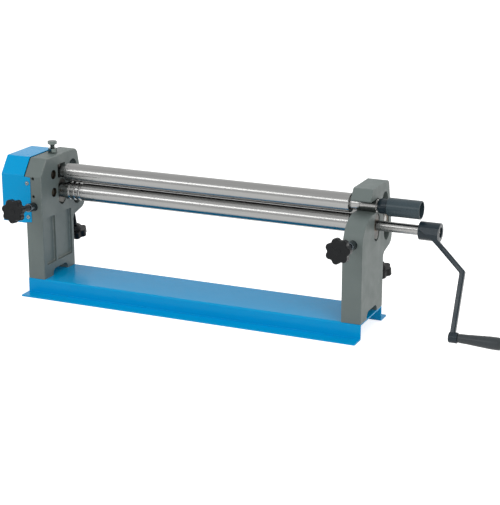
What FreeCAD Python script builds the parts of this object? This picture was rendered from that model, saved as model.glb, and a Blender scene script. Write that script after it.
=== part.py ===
import FreeCAD
import Part
import Sketcher
import math
import os
import re

# Bench slip roll: two cast side frames on a folded channel base carry an upper roll that swings
# out, a crank-driven lower roll that lifts on wedges, and a rear roll that climbs an inclined slot.
#
# Axes: +X runs along the rolls towards the crank, +Y to the rear, +Z up.
# Origin: middle of the underside of the front foot flange, midway between the side frames.
# Distances "behind the face" are measured along +Y from the vertical front face of the frames.

SIZES = [
    # side frames
    ("frame_gap", 661.0, "between the inner faces of the two side frames"),
    ("frame_thick", 40.0, "thickness of each side frame along X"),
    ("frame_depth", 125.0, "front face to rear face of the column"),
    ("frame_top", 285.5, "height of the flat head top"),
    ("face_back", 16.0, "front face of the columns behind the origin"),
    ("chamfer_low", 252.0, "height where the left head's slanted front starts"),
    ("chamfer_back", 25.0, "left head's top front edge behind the face"),
    ("cast_radius", 2.0, "rounding round the cast faces"),
    ("head_radius", 16.0, "rounding of the head's top rear corner"),
    ("jaw_high", 235.4, "floor of the right frame's mouth"),
    ("jaw_radius", 55.0, "round of the jaw in front of the mouth"),
    ("mouth_wide", 27.0, "height of the mouth"),
    ("mouth_back", 83.0, "centre of the mouth's round end behind the face"),
    ("lip_back", 38.5, "lower edge of the right head's slanted front behind the face"),
    ("lip_top_back", 55.0, "upper edge of the right head's slanted front behind the face"),
    ("arch_start", 34.0, "front end of the foot arch behind the face"),
    ("arch_end", 92.0, "rear end of the foot arch behind the face"),
    ("arch_high", 14.0, "height of the foot arch"),
    ("arch_radius", 8.0, "rounding of the arch's upper corners"),
    ("recess_low", 60.0, "lower edge of the cored recesses"),
    ("recess_high", 161.0, "upper edge of the cored recesses"),
    ("recess_start", 12.0, "front edge of the front recess behind the face"),
    ("rib_start", 46.0, "front edge of the rib behind the face"),
    ("rib_end", 59.0, "rear edge of the rib behind the face"),
    ("recess_end", 113.0, "rear edge of the rear recess behind the face"),
    ("recess_deep", 9.0, "depth of the cored recesses"),
    ("recess_radius", 4.0, "rounding of the recess corners"),
    # folded channel base
    ("base_high", 32.0, "height of the base's top plate"),
    ("base_sheet", 3.0, "sheet thickness of the base"),
    ("base_flange", 32.0, "width of each foot flange"),
    ("base_bend", 3.5, "outer bend radius"),
    ("bolt_front", 17.0, "front foot bolt behind the face"),
    ("bolt_rear", 108.5, "rear foot bolt behind the face"),
    ("bolt_dia", 10.0, "foot bolt diameter"),
    ("bolt_long", 25.0, "foot bolt length under its head"),
    # rolls
    ("roll_dia", 38.0, "diameter of the three rolls"),
    ("pinch_gap", 1.5, "gap between upper and lower roll at rest"),
    ("roll_back", 82.0, "pinch roll axes behind the face"),
    ("lower_high", 208.5, "height of the lower roll axis at rest"),
    ("left_clear", 15.5, "left frame to the rolls' barrels"),
    ("right_clear", 12.5, "the rolls' barrels to the right frame"),
    ("collar_clear", 1.0, "frame to the collars beside the barrels"),
    ("collar_dia", 33.0, "diameter of the lower and rear rolls' collars"),
    ("swing_clear", 3.0, "left frame to the upper roll's left shoulder, which swings"),
    ("roll_bevel", 1.0, "bevel on the roll ends"),
    ("journal_dia", 20.0, "journals of the rolls and crank shaft"),
    ("fit", 0.03, "radial clearance of running and sliding fits"),
    ("wire_first", 11.0, "first wire groove from the roll's left end"),
    ("wire_pitch", 12.0, "spacing of the wire grooves"),
    ("wire_small", 2.0, "radius of the first wire groove"),
    ("wire_step", 0.5, "growth of each next wire groove's radius"),
    ("shaft_end", 495.0, "right end of the crank shaft"),
    ("mouth_journal", 25.0, "diameter of the upper roll's shoulders and right journal"),
    ("mouth_journal_end", 371.0, "right end of that journal"),
    ("oil_groove", 338.0, "left edge of the oil groove round that journal"),
    ("oil_wide", 1.5, "width of the oil groove"),
    ("oil_deep", 1.0, "depth of the oil groove"),
    ("handle_end", 459.0, "open end of the handle tube"),
    # bearing blocks
    ("block_wide", 38.0, "bearing block length along X"),
    ("bush_dia", 24.0, "outer diameter of the bronze bushes"),
    ("slot_wide", 30.0, "width of the upright slots"),
    ("slot_low", 177.0, "bottom of the upright slots"),
    ("slot_high", 232.0, "top of the upright slots"),
    ("drop_room", 3.0, "room under the lower bearing blocks"),
    ("lift_room", 1.6, "room over the lower bearing blocks"),
    ("window_low", 236.0, "floor of the left frame's window"),
    ("window_high", 265.0, "roof of the left frame's window"),
    ("rear_back", 143.2, "low centre of the inclined slot behind the face"),
    ("rear_high", 180.5, "height of that low centre"),
    ("rear_tilt", 13.0, "lean of the inclined slot to the front, in degrees"),
    ("rear_run", 70.0, "distance between the inclined slot's end centres"),
    ("rear_wide", 33.0, "width of the inclined slot"),
    ("rear_wall", 29.0, "slot centre line to the rear outline"),
    ("belly_drop", 34.2, "low centre to the flat under the belly, along the slot"),
    ("belly_radius", 18.0, "round of the belly"),
    ("belly_fillet", 12.0, "fillet between belly and column"),
    ("rear_rest", 25.0, "rear roll above the low centre at rest, along the slot"),
    ("rear_spread", 10.0, "distance between a rear block's end centres"),
    # adjusting screws, wedges and knobs
    ("screw_tilt", 7.0, "front screws fall to the rear by this angle, in degrees"),
    ("screw_high", 188.0, "height of the front screw axes at the face"),
    ("screw_dia", 12.0, "adjusting screw diameter"),
    ("wedge_dia", 14.0, "wedge pin diameter"),
    ("wedge_start", 55.0, "front end of the wedge pin along its axis"),
    ("wedge_end", 105.0, "rear end of the wedge pin along its axis"),
    ("wedge_angle", 12.0, "slope of the wedge's flat to its axis, in degrees"),
    ("wedge_rise", 3.0, "flat above the pin's axis under the roll"),
    ("wedge_bore", 113.0, "blind end of the wedge bore along its axis"),
    ("sleeve_dia", 18.0, "screw sleeve collar diameter"),
    ("sleeve_out", 22.0, "screw sleeve standing out of the face"),
    ("spot_deep", 3.0, "spot face depth under the sleeve collar"),
    ("knob_dia", 50.0, "star knob diameter"),
    ("lobe_dia", 15.0, "star knob lobe diameter"),
    ("valley_radius", 5.0, "concave radius between the lobes"),
    ("lobes", 7.0, "number of lobes"),
    ("knob_thick", 16.0, "thickness of the knob's star"),
    ("hub_dia", 24.0, "knob hub diameter"),
    ("hub_long", 9.0, "knob hub length"),
    ("front_knob_out", 84.0, "front knob's outer face from the column face, along the screw"),
    ("rear_knob_down", 124.0, "rear knob's outer face from the roll axis, along the screw"),
    # gear train
    ("module", 2.0, "gear module"),
    ("roll_teeth", 13.0, "teeth of the two roll gears"),
    ("idler_teeth", 19.0, "teeth of the two idlers"),
    ("pressure", 20.0, "pressure angle, in degrees"),
    ("backlash", 0.2, "tooth thinning"),
    ("centre_ease", 0.1, "added to the roll gear to idler distance"),
    ("gear_gap", 5.0, "frame face to gear"),
    ("gear_wide", 20.0, "face width of the gears"),
    ("gear_seat", 14.0, "gear seat diameter on the rolls"),
    ("stub_dia", 12.0, "idler journal diameter"),
    ("stub_recess", 9.5, "idler shaft's inner end behind the inner face"),
    ("idler_bush", 16.0, "outer diameter of the idler bushes"),
    ("clip_thick", 1.0, "retaining clip thickness"),
    ("key_size", 3.0, "gear key section"),
    # gear cover
    ("cover_deep", 55.0, "cover depth along X"),
    ("cover_sheet", 1.5, "cover sheet thickness"),
    ("cover_low", 151.0, "bottom edge of the cover"),
    ("cover_back", 119.0, "cover's rear wall behind the face"),
    ("tab_wide", 14.0, "width of the tab lapping the column"),
    ("tab_high", 251.5, "top of the tab"),
    # crank and handles
    ("crank_lean", 25.0, "crank leans to the front, in degrees"),
    ("crank_hub_start", 457.0, "inner end of the crank hub"),
    ("crank_hub_end", 498.0, "outer end of the crank hub"),
    ("crank_hub_dia", 36.0, "crank hub diameter"),
    ("bar_thick", 10.0, "crank bar thickness"),
    ("bar_wide", 12.0, "crank bar width"),
    ("bend_out", 551.3, "outer run of the crank bar along X"),
    ("bend_radius", 70.0, "crank bar's bend from the shaft axis"),
    ("throw", 193.5, "crank throw"),
    ("boss_dia", 21.0, "boss at the crank bar's end"),
    ("boss_start", 545.0, "inner end of the boss"),
    ("boss_end", 562.0, "outer end of the boss"),
    ("pin_dia", 8.0, "grip pin diameter"),
    ("grip_end", 646.0, "outer end of the grip"),
    ("tube_dia", 36.0, "handle tube diameter"),
    ("tube_wall", 2.5, "handle tube wall"),
    ("handle_start", 373.5, "inner end of the handle hub"),
    ("tube_start", 393.0, "inner end of the handle tube"),
    ("hub_outer", 30.0, "handle hub diameter"),
    # pivot screw of the upper roll
    ("pivot_dia", 10.0, "pivot screw diameter"),
    ("pivot_dog", 8.0, "pivot screw's dog point diameter"),
    ("pivot_out", 19.0, "underside of the pivot screw's head above the frame"),
    ("pivot_head", 7.0, "pivot screw head height"),
    ("nut_high", 10.5, "jam nut height"),
    ("hex_flats", 17.0, "hexagon across flats"),
]

document = FreeCAD.newDocument("slip_roll")
sheet = document.addObject("Spreadsheet::Sheet", "sizes")
for row, (alias, number, note) in enumerate(SIZES, start=1):
    sheet.set("A%d" % row, note)
    sheet.set("B%d" % row, str(number))
    sheet.setAlias("B%d" % row, alias)
document.recompute()

ALIASES = {alias for alias, number, note in SIZES}
NODES = []

# Places that several sub-parts share, as expressions of the sheet's cells.
ROLL_Y = "(face_back + roll_back)"
UPPER_Z = "(lower_high + roll_dia + pinch_gap)"
OUTER = "(frame_gap / 2 + frame_thick)"
MID_FRAME = "(frame_gap / 2 + frame_thick / 2)"
ROLL_LEFT = "(frame_gap / 2 - left_clear)"
ROLL_RIGHT = "(frame_gap / 2 - right_clear)"
COLLAR_END = "(frame_gap / 2 - collar_clear)"
SWING_END = "(frame_gap / 2 - swing_clear)"
GEAR_OUT = "(frame_gap / 2 + frame_thick + gear_gap)"
REAR_Y = "(face_back + rear_back - rear_rest * sin(rear_tilt))"
REAR_Z = "(rear_high + rear_rest * cos(rear_tilt))"
MESH = "(module * (roll_teeth + idler_teeth) / 2 + centre_ease)"
IDLER_DROP = "((module * idler_teeth - roll_dia - pinch_gap) / 2)"
IDLER_BACK = "(roll_back - sqrt(%s ^ 2 - %s ^ 2))" % (MESH, IDLER_DROP)
LOW_IDLER_Z = "((lower_high + %s) / 2 - module * idler_teeth / 2)" % UPPER_Z
HIGH_IDLER_Z = "((lower_high + %s) / 2 + module * idler_teeth / 2)" % UPPER_Z

LEFT, RIGHT = -1, 1
X_AXIS = FreeCAD.Vector(1, 0, 0)
Y_AXIS = FreeCAD.Vector(0, 1, 0)
Z_AXIS = FreeCAD.Vector(0, 0, 1)


def value(expression):
    """Number that an expression of the sheet's cells comes to."""
    result = sheet.evalExpression(str(expression))
    return float(getattr(result, "Value", result))


def bind(target, prop, expression):
    """Tie a property of an object to an expression of the sheet's cells."""
    qualified = re.sub(
        r"[a-z_]+",
        lambda word: "sizes." + word.group(0) if word.group(0) in ALIASES else word.group(0),
        str(expression),
    )
    target.setExpression(prop, qualified)


def keep(node):
    """Add a finished sub-part to the ones that are written out."""
    NODES.append(node)
    return node


def new_body(label):
    body = document.addObject("PartDesign::Body", label)
    body.Label = label
    return body


def place(node, x="0", y="0", z="0", turn=None):
    """Put a sub-part at its place; turn is a FreeCAD.Rotation."""
    node.Placement = FreeCAD.Placement(FreeCAD.Vector(), turn or FreeCAD.Rotation())
    for axis, expression in (("x", x), ("y", y), ("z", z)):
        bind(node, "Placement.Base." + axis, expression)
    return node


def new_sketch(body, name, role, offset=None):
    """Sketch on one of the body's own origin planes, moved along its normal by offset."""
    sketch = body.newObject("Sketcher::SketchObject", body.Label + "_" + name)
    plane = next(item for item in body.Origin.OriginFeatures if item.Role == role)
    sketch.AttachmentSupport = (plane, [""])
    sketch.MapMode = "FlatFace"
    if offset is not None:
        bind(sketch, "AttachmentOffset.Base.z", offset)
    return sketch


def fix_point(sketch, geometry, end, x, y):
    """Dimension a sketch point from the sketch's origin."""
    for kind, axis_line, expression in (("DistanceX", -2, x), ("DistanceY", -1, y)):
        number = value(expression)
        if abs(number) < 1e-9:
            sketch.addConstraint(Sketcher.Constraint("PointOnObject", geometry, end, axis_line))
            continue
        rule = Sketcher.Constraint(kind, -1, 1, geometry, end, number)
        bind(sketch, "Constraints[%d]" % sketch.addConstraint(rule), expression)


def draw_outline(sketch, corners):
    """Closed outline of straight lines through corners given as pairs of expressions."""
    points = [FreeCAD.Vector(value(x), value(y), 0) for x, y in corners]
    first = sketch.GeometryCount
    count = len(points)
    for index in range(count):
        line = Part.LineSegment(points[index], points[(index + 1) % count])
        sketch.addGeometry(line, False)
    for index in range(count):
        follower = first + (index + 1) % count
        sketch.addConstraint(Sketcher.Constraint("Coincident", first + index, 2, follower, 1))
    for index, (x, y) in enumerate(corners):
        fix_point(sketch, first + index, 1, x, y)
    return sketch


def draw_circle(sketch, x, y, radius):
    centre = FreeCAD.Vector(value(x), value(y), 0)
    index = sketch.addGeometry(Part.Circle(centre, Z_AXIS, value(radius)), False)
    fix_point(sketch, index, 3, x, y)
    rule = Sketcher.Constraint("Radius", index, value(radius))
    bind(sketch, "Constraints[%d]" % sketch.addConstraint(rule), radius)
    return sketch


def draw_arcs(sketch, arcs):
    """Closed outline of arcs that run smoothly into each other.

    Each arc is (x, y, radius, start, end, clockwise, fixed): fixed arcs have their centre
    dimensioned, the others are held by tangency to their neighbours.
    """
    for x, y, radius, start, end, clockwise, fixed in arcs:
        centre = FreeCAD.Vector(value(x), value(y), 0)
        circle = Part.Circle(centre, Z_AXIS, value(radius))
        low, high = (end, start) if clockwise else (start, end)
        index = sketch.addGeometry(Part.ArcOfCircle(circle, low, high), False)
        rule = Sketcher.Constraint("Radius", index, value(radius))
        bind(sketch, "Constraints[%d]" % sketch.addConstraint(rule), radius)
        if fixed:
            fix_point(sketch, index, 3, x, y)
    count = len(arcs)
    for index in range(count):
        follower = (index + 1) % count
        leave = 1 if arcs[index][5] else 2
        enter = 2 if arcs[follower][5] else 1
        sketch.addConstraint(Sketcher.Constraint("Tangent", index, leave, follower, enter))
    return sketch


def draw_obround(sketch, low, high, radius):
    """Round-ended slot between two centres, given as pairs of expressions."""
    start = FreeCAD.Vector(value(low[0]), value(low[1]), 0)
    finish = FreeCAD.Vector(value(high[0]), value(high[1]), 0)
    size = value(radius)
    lean = math.atan2(finish.y - start.y, finish.x - start.x)
    side = FreeCAD.Vector(-math.sin(lean), math.cos(lean), 0) * size
    half = math.pi / 2
    sketch.addGeometry(
        Part.ArcOfCircle(Part.Circle(start, Z_AXIS, size), lean + half, lean + 3 * half), False)
    sketch.addGeometry(Part.LineSegment(start - side, finish - side), False)
    sketch.addGeometry(Part.ArcOfCircle(Part.Circle(finish, Z_AXIS, size), lean - half, lean + half), False)
    sketch.addGeometry(Part.LineSegment(finish + side, start + side), False)
    for one, other in ((0, 1), (1, 2), (2, 3), (3, 0)):
        sketch.addConstraint(Sketcher.Constraint("Tangent", one, 2, other, 1))
    fix_point(sketch, 0, 3, low[0], low[1])
    fix_point(sketch, 2, 3, high[0], high[1])
    rule = Sketcher.Constraint("Radius", 0, size)
    bind(sketch, "Constraints[%d]" % sketch.addConstraint(rule), radius)
    return sketch


def pad(body, sketch, length, both_ways=False):
    feature = body.newObject("PartDesign::Pad", sketch.Label + "_pad")
    feature.Profile = sketch
    feature.Midplane = both_ways
    bind(feature, "Length", length)
    body.Tip = feature
    document.recompute()
    return feature


def pocket(body, sketch, depth=None, towards_normal=False):
    """Cut a sketch out of the body: through all both ways, or to a depth."""
    before = body.Shape.Volume
    feature = body.newObject("PartDesign::Pocket", sketch.Label + "_pocket")
    feature.Profile = sketch
    if depth is None:
        feature.Type = "ThroughAll"
        feature.Midplane = True
    else:
        bind(feature, "Length", depth)
        feature.Reversed = towards_normal
    body.Tip = feature
    document.recompute()
    assert body.Shape.Volume < before - 1e-3, feature.Label + " cuts nothing"
    return feature


def drill(body, name, radius, length, x, y, z, turn):
    """Round hole along the turned local Z axis, starting at x, y, z."""
    before = body.Shape.Volume
    feature = body.newObject("PartDesign::SubtractiveCylinder", body.Label + "_" + name)
    bind(feature, "Radius", radius)
    bind(feature, "Height", length)
    place(feature, x, y, z, turn)
    body.Tip = feature
    document.recompute()
    assert body.Shape.Volume < before - 1e-3, feature.Label + " cuts nothing"
    return feature


def dress(body, kind, size_name, size, wanted):
    """Fillet or chamfer the edges for which wanted(edge) holds."""
    base = body.Tip
    names = ["Edge%d" % (i + 1) for i, edge in enumerate(base.Shape.Edges) if wanted(edge)]
    assert names, body.Label + " has no such edge"
    feature = body.newObject("PartDesign::" + kind, "%s_%s" % (body.Label, kind.lower()))
    feature.Base = (base, names)
    bind(feature, size_name, size)
    body.Tip = feature
    document.recompute()
    return feature


def round_edges(body, radius, wanted):
    return dress(body, "Fillet", "Radius", radius, wanted)


def bevel_edges(body, size, wanted):
    return dress(body, "Chamfer", "Size", size, wanted)


def along_x_at(y, z):
    """Test for edges that run along X through (y, z)."""
    spot_y, spot_z = value(y), value(z)

    def wanted(edge):
        middle = edge.CenterOfMass
        box = edge.BoundBox
        straight = box.XLength > 1.0 and box.YLength < 1e-6 and box.ZLength < 1e-6
        return straight and abs(middle.y - spot_y) < 0.01 and abs(middle.z - spot_z) < 0.01

    return wanted


def turned(label, corners, x="0", y="0", z="0", turn=None):
    """Turned sub-part: an outline of (distance along local X, radius) spun about local X."""
    body = new_body(label)
    sketch = draw_outline(new_sketch(body, "profile", "XZ_Plane"), corners)
    feature = body.newObject("PartDesign::Revolution", label + "_turning")
    feature.Profile = sketch
    feature.ReferenceAxis = (sketch, ["H_Axis"])
    feature.Angle = 360
    body.Tip = feature
    document.recompute()
    return place(body, x, y, z, turn)


def tube(start, end, outer, inner):
    """Outline of a plain tube for turned()."""
    return [(start, inner), (end, inner), (end, outer), (start, outer)]


def wire_groove(body, index):
    """Half-round groove that lets a wired edge pass between the rolls."""
    before = body.Shape.Volume
    centre = "-%s + wire_first + %d * wire_pitch" % (ROLL_LEFT, index)
    radius = "(wire_small + %d * wire_step)" % index
    sketch = new_sketch(body, "wire%d" % index, "XZ_Plane")
    draw_circle(sketch, centre, "roll_dia / 2", radius)
    feature = body.newObject("PartDesign::Groove", "%s_wire%d_cut" % (body.Label, index))
    feature.Profile = sketch
    feature.ReferenceAxis = (sketch, ["H_Axis"])
    feature.Angle = 360
    body.Tip = feature
    document.recompute()
    assert body.Shape.Volume < before - 1e-3, feature.Label + " cuts nothing"


def keyway(body, start, end, radius):
    """Key slot in the top of a gear seat."""
    sketch = new_sketch(body, "keyway", "XY_Plane", radius + " + 1")
    draw_outline(sketch, box_outline(start, end, "-key_size / 2", "key_size / 2"))
    pocket(body, sketch, "key_size * 0.6 + 1")


def box_outline(low_x, high_x, low_y, high_y):
    return [(low_x, low_y), (high_x, low_y), (high_x, high_y), (low_x, high_y)]


def group(label, master, places):
    """Identical pieces in one node: copies of the master's shape at several places."""
    node = document.addObject("Part::Feature", label)
    node.Label = label
    copies = []
    for spot in places:
        copy = master.Shape.copy()
        copy.Placement = spot.multiply(master.Placement)
        copies.append(copy)
    node.Shape = Part.makeCompound(copies)
    return keep(node)


def shift(x, y, z):
    return FreeCAD.Placement(FreeCAD.Vector(value(x), value(y), value(z)), FreeCAD.Rotation())


# ---------------------------------------------------------------- base

def make_base():
    """Folded hat channel whose two flanges stand on the bench."""
    body = new_body("base_channel")
    front, rear = "face_back", "(face_back + frame_depth)"
    outline = [
        (front + " - base_flange", "0"),
        (front + " + base_sheet", "0"),
        (front + " + base_sheet", "base_high - base_sheet"),
        (rear + " - base_sheet", "base_high - base_sheet"),
        (rear + " - base_sheet", "0"),
        (rear + " + base_flange", "0"),
        (rear + " + base_flange", "base_sheet"),
        (rear, "base_sheet"),
        (rear, "base_high"),
        (front, "base_high"),
        (front, "base_sheet"),
        (front + " - base_flange", "base_sheet"),
    ]
    sketch = draw_outline(new_sketch(body, "section", "YZ_Plane"), outline)
    pad(body, sketch, "2 * " + OUTER, both_ways=True)
    outer_bends = [(front, "base_high"), (rear, "base_high")]
    outer_bends += [(front + " + base_sheet", "0"), (rear + " - base_sheet", "0")]
    inner_bends = [(front, "base_sheet"), (rear, "base_sheet")]
    inner_bends += [(front + " + base_sheet", "base_high - base_sheet")]
    inner_bends += [(rear + " - base_sheet", "base_high - base_sheet")]
    for spots, radius in ((outer_bends, "base_bend"), (inner_bends, "base_bend - base_sheet")):
        tests = [along_x_at(y, z) for y, z in spots]
        round_edges(body, radius, lambda edge: any(test(edge) for test in tests))
    holes = new_sketch(body, "bolt_holes", "XY_Plane")
    for side in (LEFT, RIGHT):
        for back in ("bolt_front", "bolt_rear"):
            x = "%d * %s" % (side, MID_FRAME)
            draw_circle(holes, x, "face_back + " + back, "bolt_dia / 2 + 0.5")
    pocket(body, holes)
    return keep(body)


# ---------------------------------------------------------------- side frames

SLOT_DOWN = ("rear_back + belly_drop * sin(rear_tilt)", "rear_high - belly_drop * cos(rear_tilt)")
BELLY_Z = "(%s + (frame_depth - %s) * tan(rear_tilt))" % (SLOT_DOWN[1], "(%s)" % SLOT_DOWN[0])
REAR_TOP_BACK = "(rear_back + rear_wall / cos(rear_tilt) - (frame_top - rear_high) * tan(rear_tilt))"


def frame_rear():
    """Rear part of both outlines: head corner, belly corner and the column's rear face."""
    return [
        (REAR_TOP_BACK, "frame_top"),
        (SLOT_DOWN[0] + " + rear_wall * cos(rear_tilt)", SLOT_DOWN[1] + " + rear_wall * sin(rear_tilt)"),
        ("frame_depth", BELLY_Z),
        ("frame_depth", "base_high"),
    ]


def make_frame(label, side):
    """Cast side frame; both share the column, slots and feet and differ in the head."""
    body = new_body(label)
    rear = frame_rear()
    if side == LEFT:
        front = [("0", "base_high"), ("0", "chamfer_low"), ("chamfer_back", "frame_top")]
        corners = [(front[1], "cast_radius * 2"), (front[2], "cast_radius * 2")]
    else:
        roof = "jaw_high + mouth_wide"
        front = [("0", "base_high"), ("0", "jaw_high"), ("mouth_back", "jaw_high")]
        front += [("mouth_back", roof), ("lip_back", roof), ("lip_top_back", "frame_top")]
        corners = [(front[1], "jaw_radius"), (front[4], "cast_radius"), (front[5], "cast_radius * 2")]
    pad(body, draw_outline(new_sketch(body, "outline", "YZ_Plane"), front + rear), "frame_thick")
    corners += [(rear[0], "head_radius"), (rear[1], "belly_radius"), (rear[2], "belly_fillet")]
    for (y, z), radius in corners:
        round_edges(body, radius, along_x_at(y, z))
    sole = value("base_high")
    mouth = value("mouth_back")

    def on_a_side(edge):
        box = edge.BoundBox
        flat = box.XLength < 1e-6
        in_mouth = side == RIGHT and abs(edge.CenterOfMass.y - mouth) < 0.01 and box.YLength < 1e-6
        return flat and box.ZMax > sole + 0.01 and not in_mouth

    round_edges(body, "cast_radius", on_a_side)
    if side == RIGHT:
        end = draw_circle(new_sketch(body, "mouth_end", "YZ_Plane"), "mouth_back",
                          "jaw_high + mouth_wide / 2", "mouth_wide / 2")
        pocket(body, end)
    upright = draw_obround(new_sketch(body, "upright_slot", "YZ_Plane"),
                           ("roll_back", "slot_low + slot_wide / 2"),
                           ("roll_back", "slot_high - slot_wide / 2"), "slot_wide / 2")
    pocket(body, upright)
    inclined = draw_obround(new_sketch(body, "inclined_slot", "YZ_Plane"),
                            ("rear_back", "rear_high"),
                            ("rear_back - rear_run * sin(rear_tilt)",
                             "rear_high + rear_run * cos(rear_tilt)"), "rear_wide / 2")
    pocket(body, inclined)
    arch = draw_outline(new_sketch(body, "foot_arch", "YZ_Plane"),
                        box_outline("arch_start", "arch_end", "base_high - 1", "base_high + arch_high"))
    pocket(body, arch)
    for back in ("arch_start", "arch_end"):
        round_edges(body, "arch_radius", along_x_at(back, "base_high + arch_high"))
    cut_recesses(body, side)
    cut_screw_bores(body)
    if side == LEFT:
        cut_left_head(body)
    left_face = "-" + OUTER if side == LEFT else "frame_gap / 2"
    return keep(place(body, left_face, "face_back"))


def cut_recesses(body, side):
    """Two cored recesses with a rib between them in the frame's inner face."""
    inner = "frame_thick" if side == LEFT else "0"
    for name, start, end in (("front", "recess_start", "rib_start"), ("rear", "rib_end", "recess_end")):
        sketch = new_sketch(body, name + "_recess", "YZ_Plane", inner)
        draw_outline(sketch, box_outline(start, end, "recess_low", "recess_high"))
        pocket(body, sketch, "recess_deep", towards_normal=side == RIGHT)
        for back in (start, end):
            for high in ("recess_low", "recess_high"):
                round_edges(body, "recess_radius", along_x_at(back, high))


def cut_screw_bores(body):
    """Wedge bore with its spot face, rear screw hole and foot bolt holes."""
    middle = "frame_thick / 2"
    falling = FreeCAD.Rotation(X_AXIS, -90 - value("screw_tilt"))
    spot_y, spot_z = "-10 * cos(screw_tilt)", "screw_high + 10 * sin(screw_tilt)"
    drill(body, "wedge_bore", "wedge_dia / 2", "wedge_bore + 10", middle, spot_y, spot_z, falling)
    drill(body, "spot_face", "sleeve_dia / 2 + fit", "spot_deep + 10", middle, spot_y, spot_z, falling)
    leaning = FreeCAD.Rotation(X_AXIS, value("rear_tilt"))
    under_y = "rear_back + (belly_drop + 5) * sin(rear_tilt)"
    under_z = "rear_high - (belly_drop + 5) * cos(rear_tilt)"
    drill(body, "rear_screw_hole", "screw_dia / 2", "belly_drop", middle, under_y, under_z, leaning)
    for back in ("bolt_front", "bolt_rear"):
        drill(body, back + "_hole", "bolt_dia / 2", "bolt_long", middle, back, "base_high - 1", None)


def cut_left_head(body):
    """Window of the swivel block, idler shaft holes and the screw holes round them."""
    middle = "frame_thick / 2"
    window = new_sketch(body, "window", "YZ_Plane")
    half = "slot_wide / 2"
    sides = ("roll_back - " + half, "roll_back + " + half)
    draw_outline(window, box_outline(*sides, "window_low", "window_high"))
    pocket(body, window)
    straight_back = FreeCAD.Rotation(X_AXIS, -90)
    across = FreeCAD.Rotation(Y_AXIS, 90)
    for name, high in (("low", LOW_IDLER_Z), ("high", HIGH_IDLER_Z)):
        drill(body, name + "_idler_hole", "journal_dia / 2", "frame_thick + 2", "-1", IDLER_BACK, high,
              across)
        drill(body, name + "_set_hole", "3.5", "%s - 5" % IDLER_BACK, middle, "-1", high, straight_back)
    drill(body, "pivot_hole", "pivot_dia / 2", "frame_top - window_high + 2", middle, "roll_back",
          "window_high - 1", None)
    for index, high in enumerate(COVER_SCREW_HEIGHTS):
        drill(body, "cover_hole%d" % index, "2.1", "13", "tab_wide / 2", "-1", high, straight_back)


COVER_SCREW_HEIGHTS = ("tab_high - 14.5", "cover_low + 14")


# ---------------------------------------------------------------- gear cover

def cover_outline(gap):
    """Cover section: gap 0 follows the left frame's outline, more lies outside it."""
    slant = "atan(chamfer_back / (frame_top - chamfer_low))"
    return [
        ("-" + gap, "cover_low + cover_sheet - " + gap),
        ("-" + gap, "chamfer_low + %s * tan(%s / 2)" % (gap, slant)),
        ("chamfer_back - %s * tan((90 deg - %s) / 2)" % (gap, slant), "frame_top + " + gap),
        ("cover_back - cover_sheet + " + gap, "frame_top + " + gap),
        ("cover_back - cover_sheet + " + gap, "cover_low + cover_sheet - " + gap),
    ]


def make_gear_cover():
    """Folded sheet box over the gear train, with a tab that laps the column's front."""
    body = new_body("gear_cover")
    outer = draw_outline(new_sketch(body, "outline", "YZ_Plane"), cover_outline("cover_sheet"))
    pad(body, outer, "cover_deep")

    def outer_fold(edge):
        box = edge.BoundBox
        along = box.XLength > 1.0
        on_left = box.XMax < 1e-6
        return along or on_left

    round_edges(body, "cover_sheet * 1.2", outer_fold)
    hollow = new_sketch(body, "hollow", "YZ_Plane", "cover_deep")
    pocket(body, draw_outline(hollow, cover_outline("0")), "cover_deep - cover_sheet")
    tab = new_sketch(body, "tab", "XZ_Plane")
    draw_outline(tab, box_outline("cover_deep - 10", "cover_deep + tab_wide", "cover_low + 2", "tab_high"))
    pad(body, tab, "cover_sheet")
    holes = new_sketch(body, "tab_holes", "XZ_Plane", "-1")
    for high in COVER_SCREW_HEIGHTS:
        draw_circle(holes, "cover_deep + tab_wide / 2", high, "2.75")
    draw_circle(holes, "cover_deep + frame_thick / 2", "screw_high", "sleeve_dia / 2 + 1")
    pocket(body, holes, "cover_sheet + 5", towards_normal=True)
    return keep(place(body, "-%s - cover_deep" % OUTER, "face_back"))


def make_cover_screws():
    """Round-head screws that hold the cover's tab."""
    under = "-cover_sheet"
    outline = [("9", "0"), ("9", "2.1"), (under, "2.1"), (under, "4.5"), (under + " - 1", "4.3")]
    outline += [(under + " - 2", "3.4"), (under + " - 2.8", "1.9"), (under + " - 3", "0")]
    master = turned("cover_screw", outline, turn=FreeCAD.Rotation(Z_AXIS, 90))
    x = "-%s + tab_wide / 2" % OUTER
    group("cover_screws", master, [shift(x, "face_back", high) for high in COVER_SCREW_HEIGHTS])


# ---------------------------------------------------------------- fasteners

def make_hexagon(label, flats, height, hole=None):
    """Hexagonal head or nut standing on local Z = 0, its upper corners chamfered."""
    body = new_body(label)
    feature = body.newObject("PartDesign::AdditivePrism", label + "_hexagon")
    feature.Polygon = 6
    bind(feature, "Circumradius", "%s / 2 / cos(30)" % flats)
    bind(feature, "Height", height)
    body.Tip = feature
    document.recompute()
    corner = "%s / 2 / cos(30) + 1" % flats
    start = "%s / 2 - 0.2" % flats
    sketch = new_sketch(body, "corner", "XZ_Plane")
    drop = "%s - (%s - (%s)) * tan(30)" % (height, corner, start)
    above = height + " + 1"
    draw_outline(sketch, [(start, height), (corner, drop), (corner, above), (start, above)])
    cut = body.newObject("PartDesign::Groove", label + "_chamfer")
    cut.Profile = sketch
    cut.ReferenceAxis = (sketch, ["V_Axis"])
    cut.Angle = 360
    body.Tip = cut
    document.recompute()
    if hole:
        drill(body, "hole", hole, height + " + 2", "0", "0", "-1", None)
    return body


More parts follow.
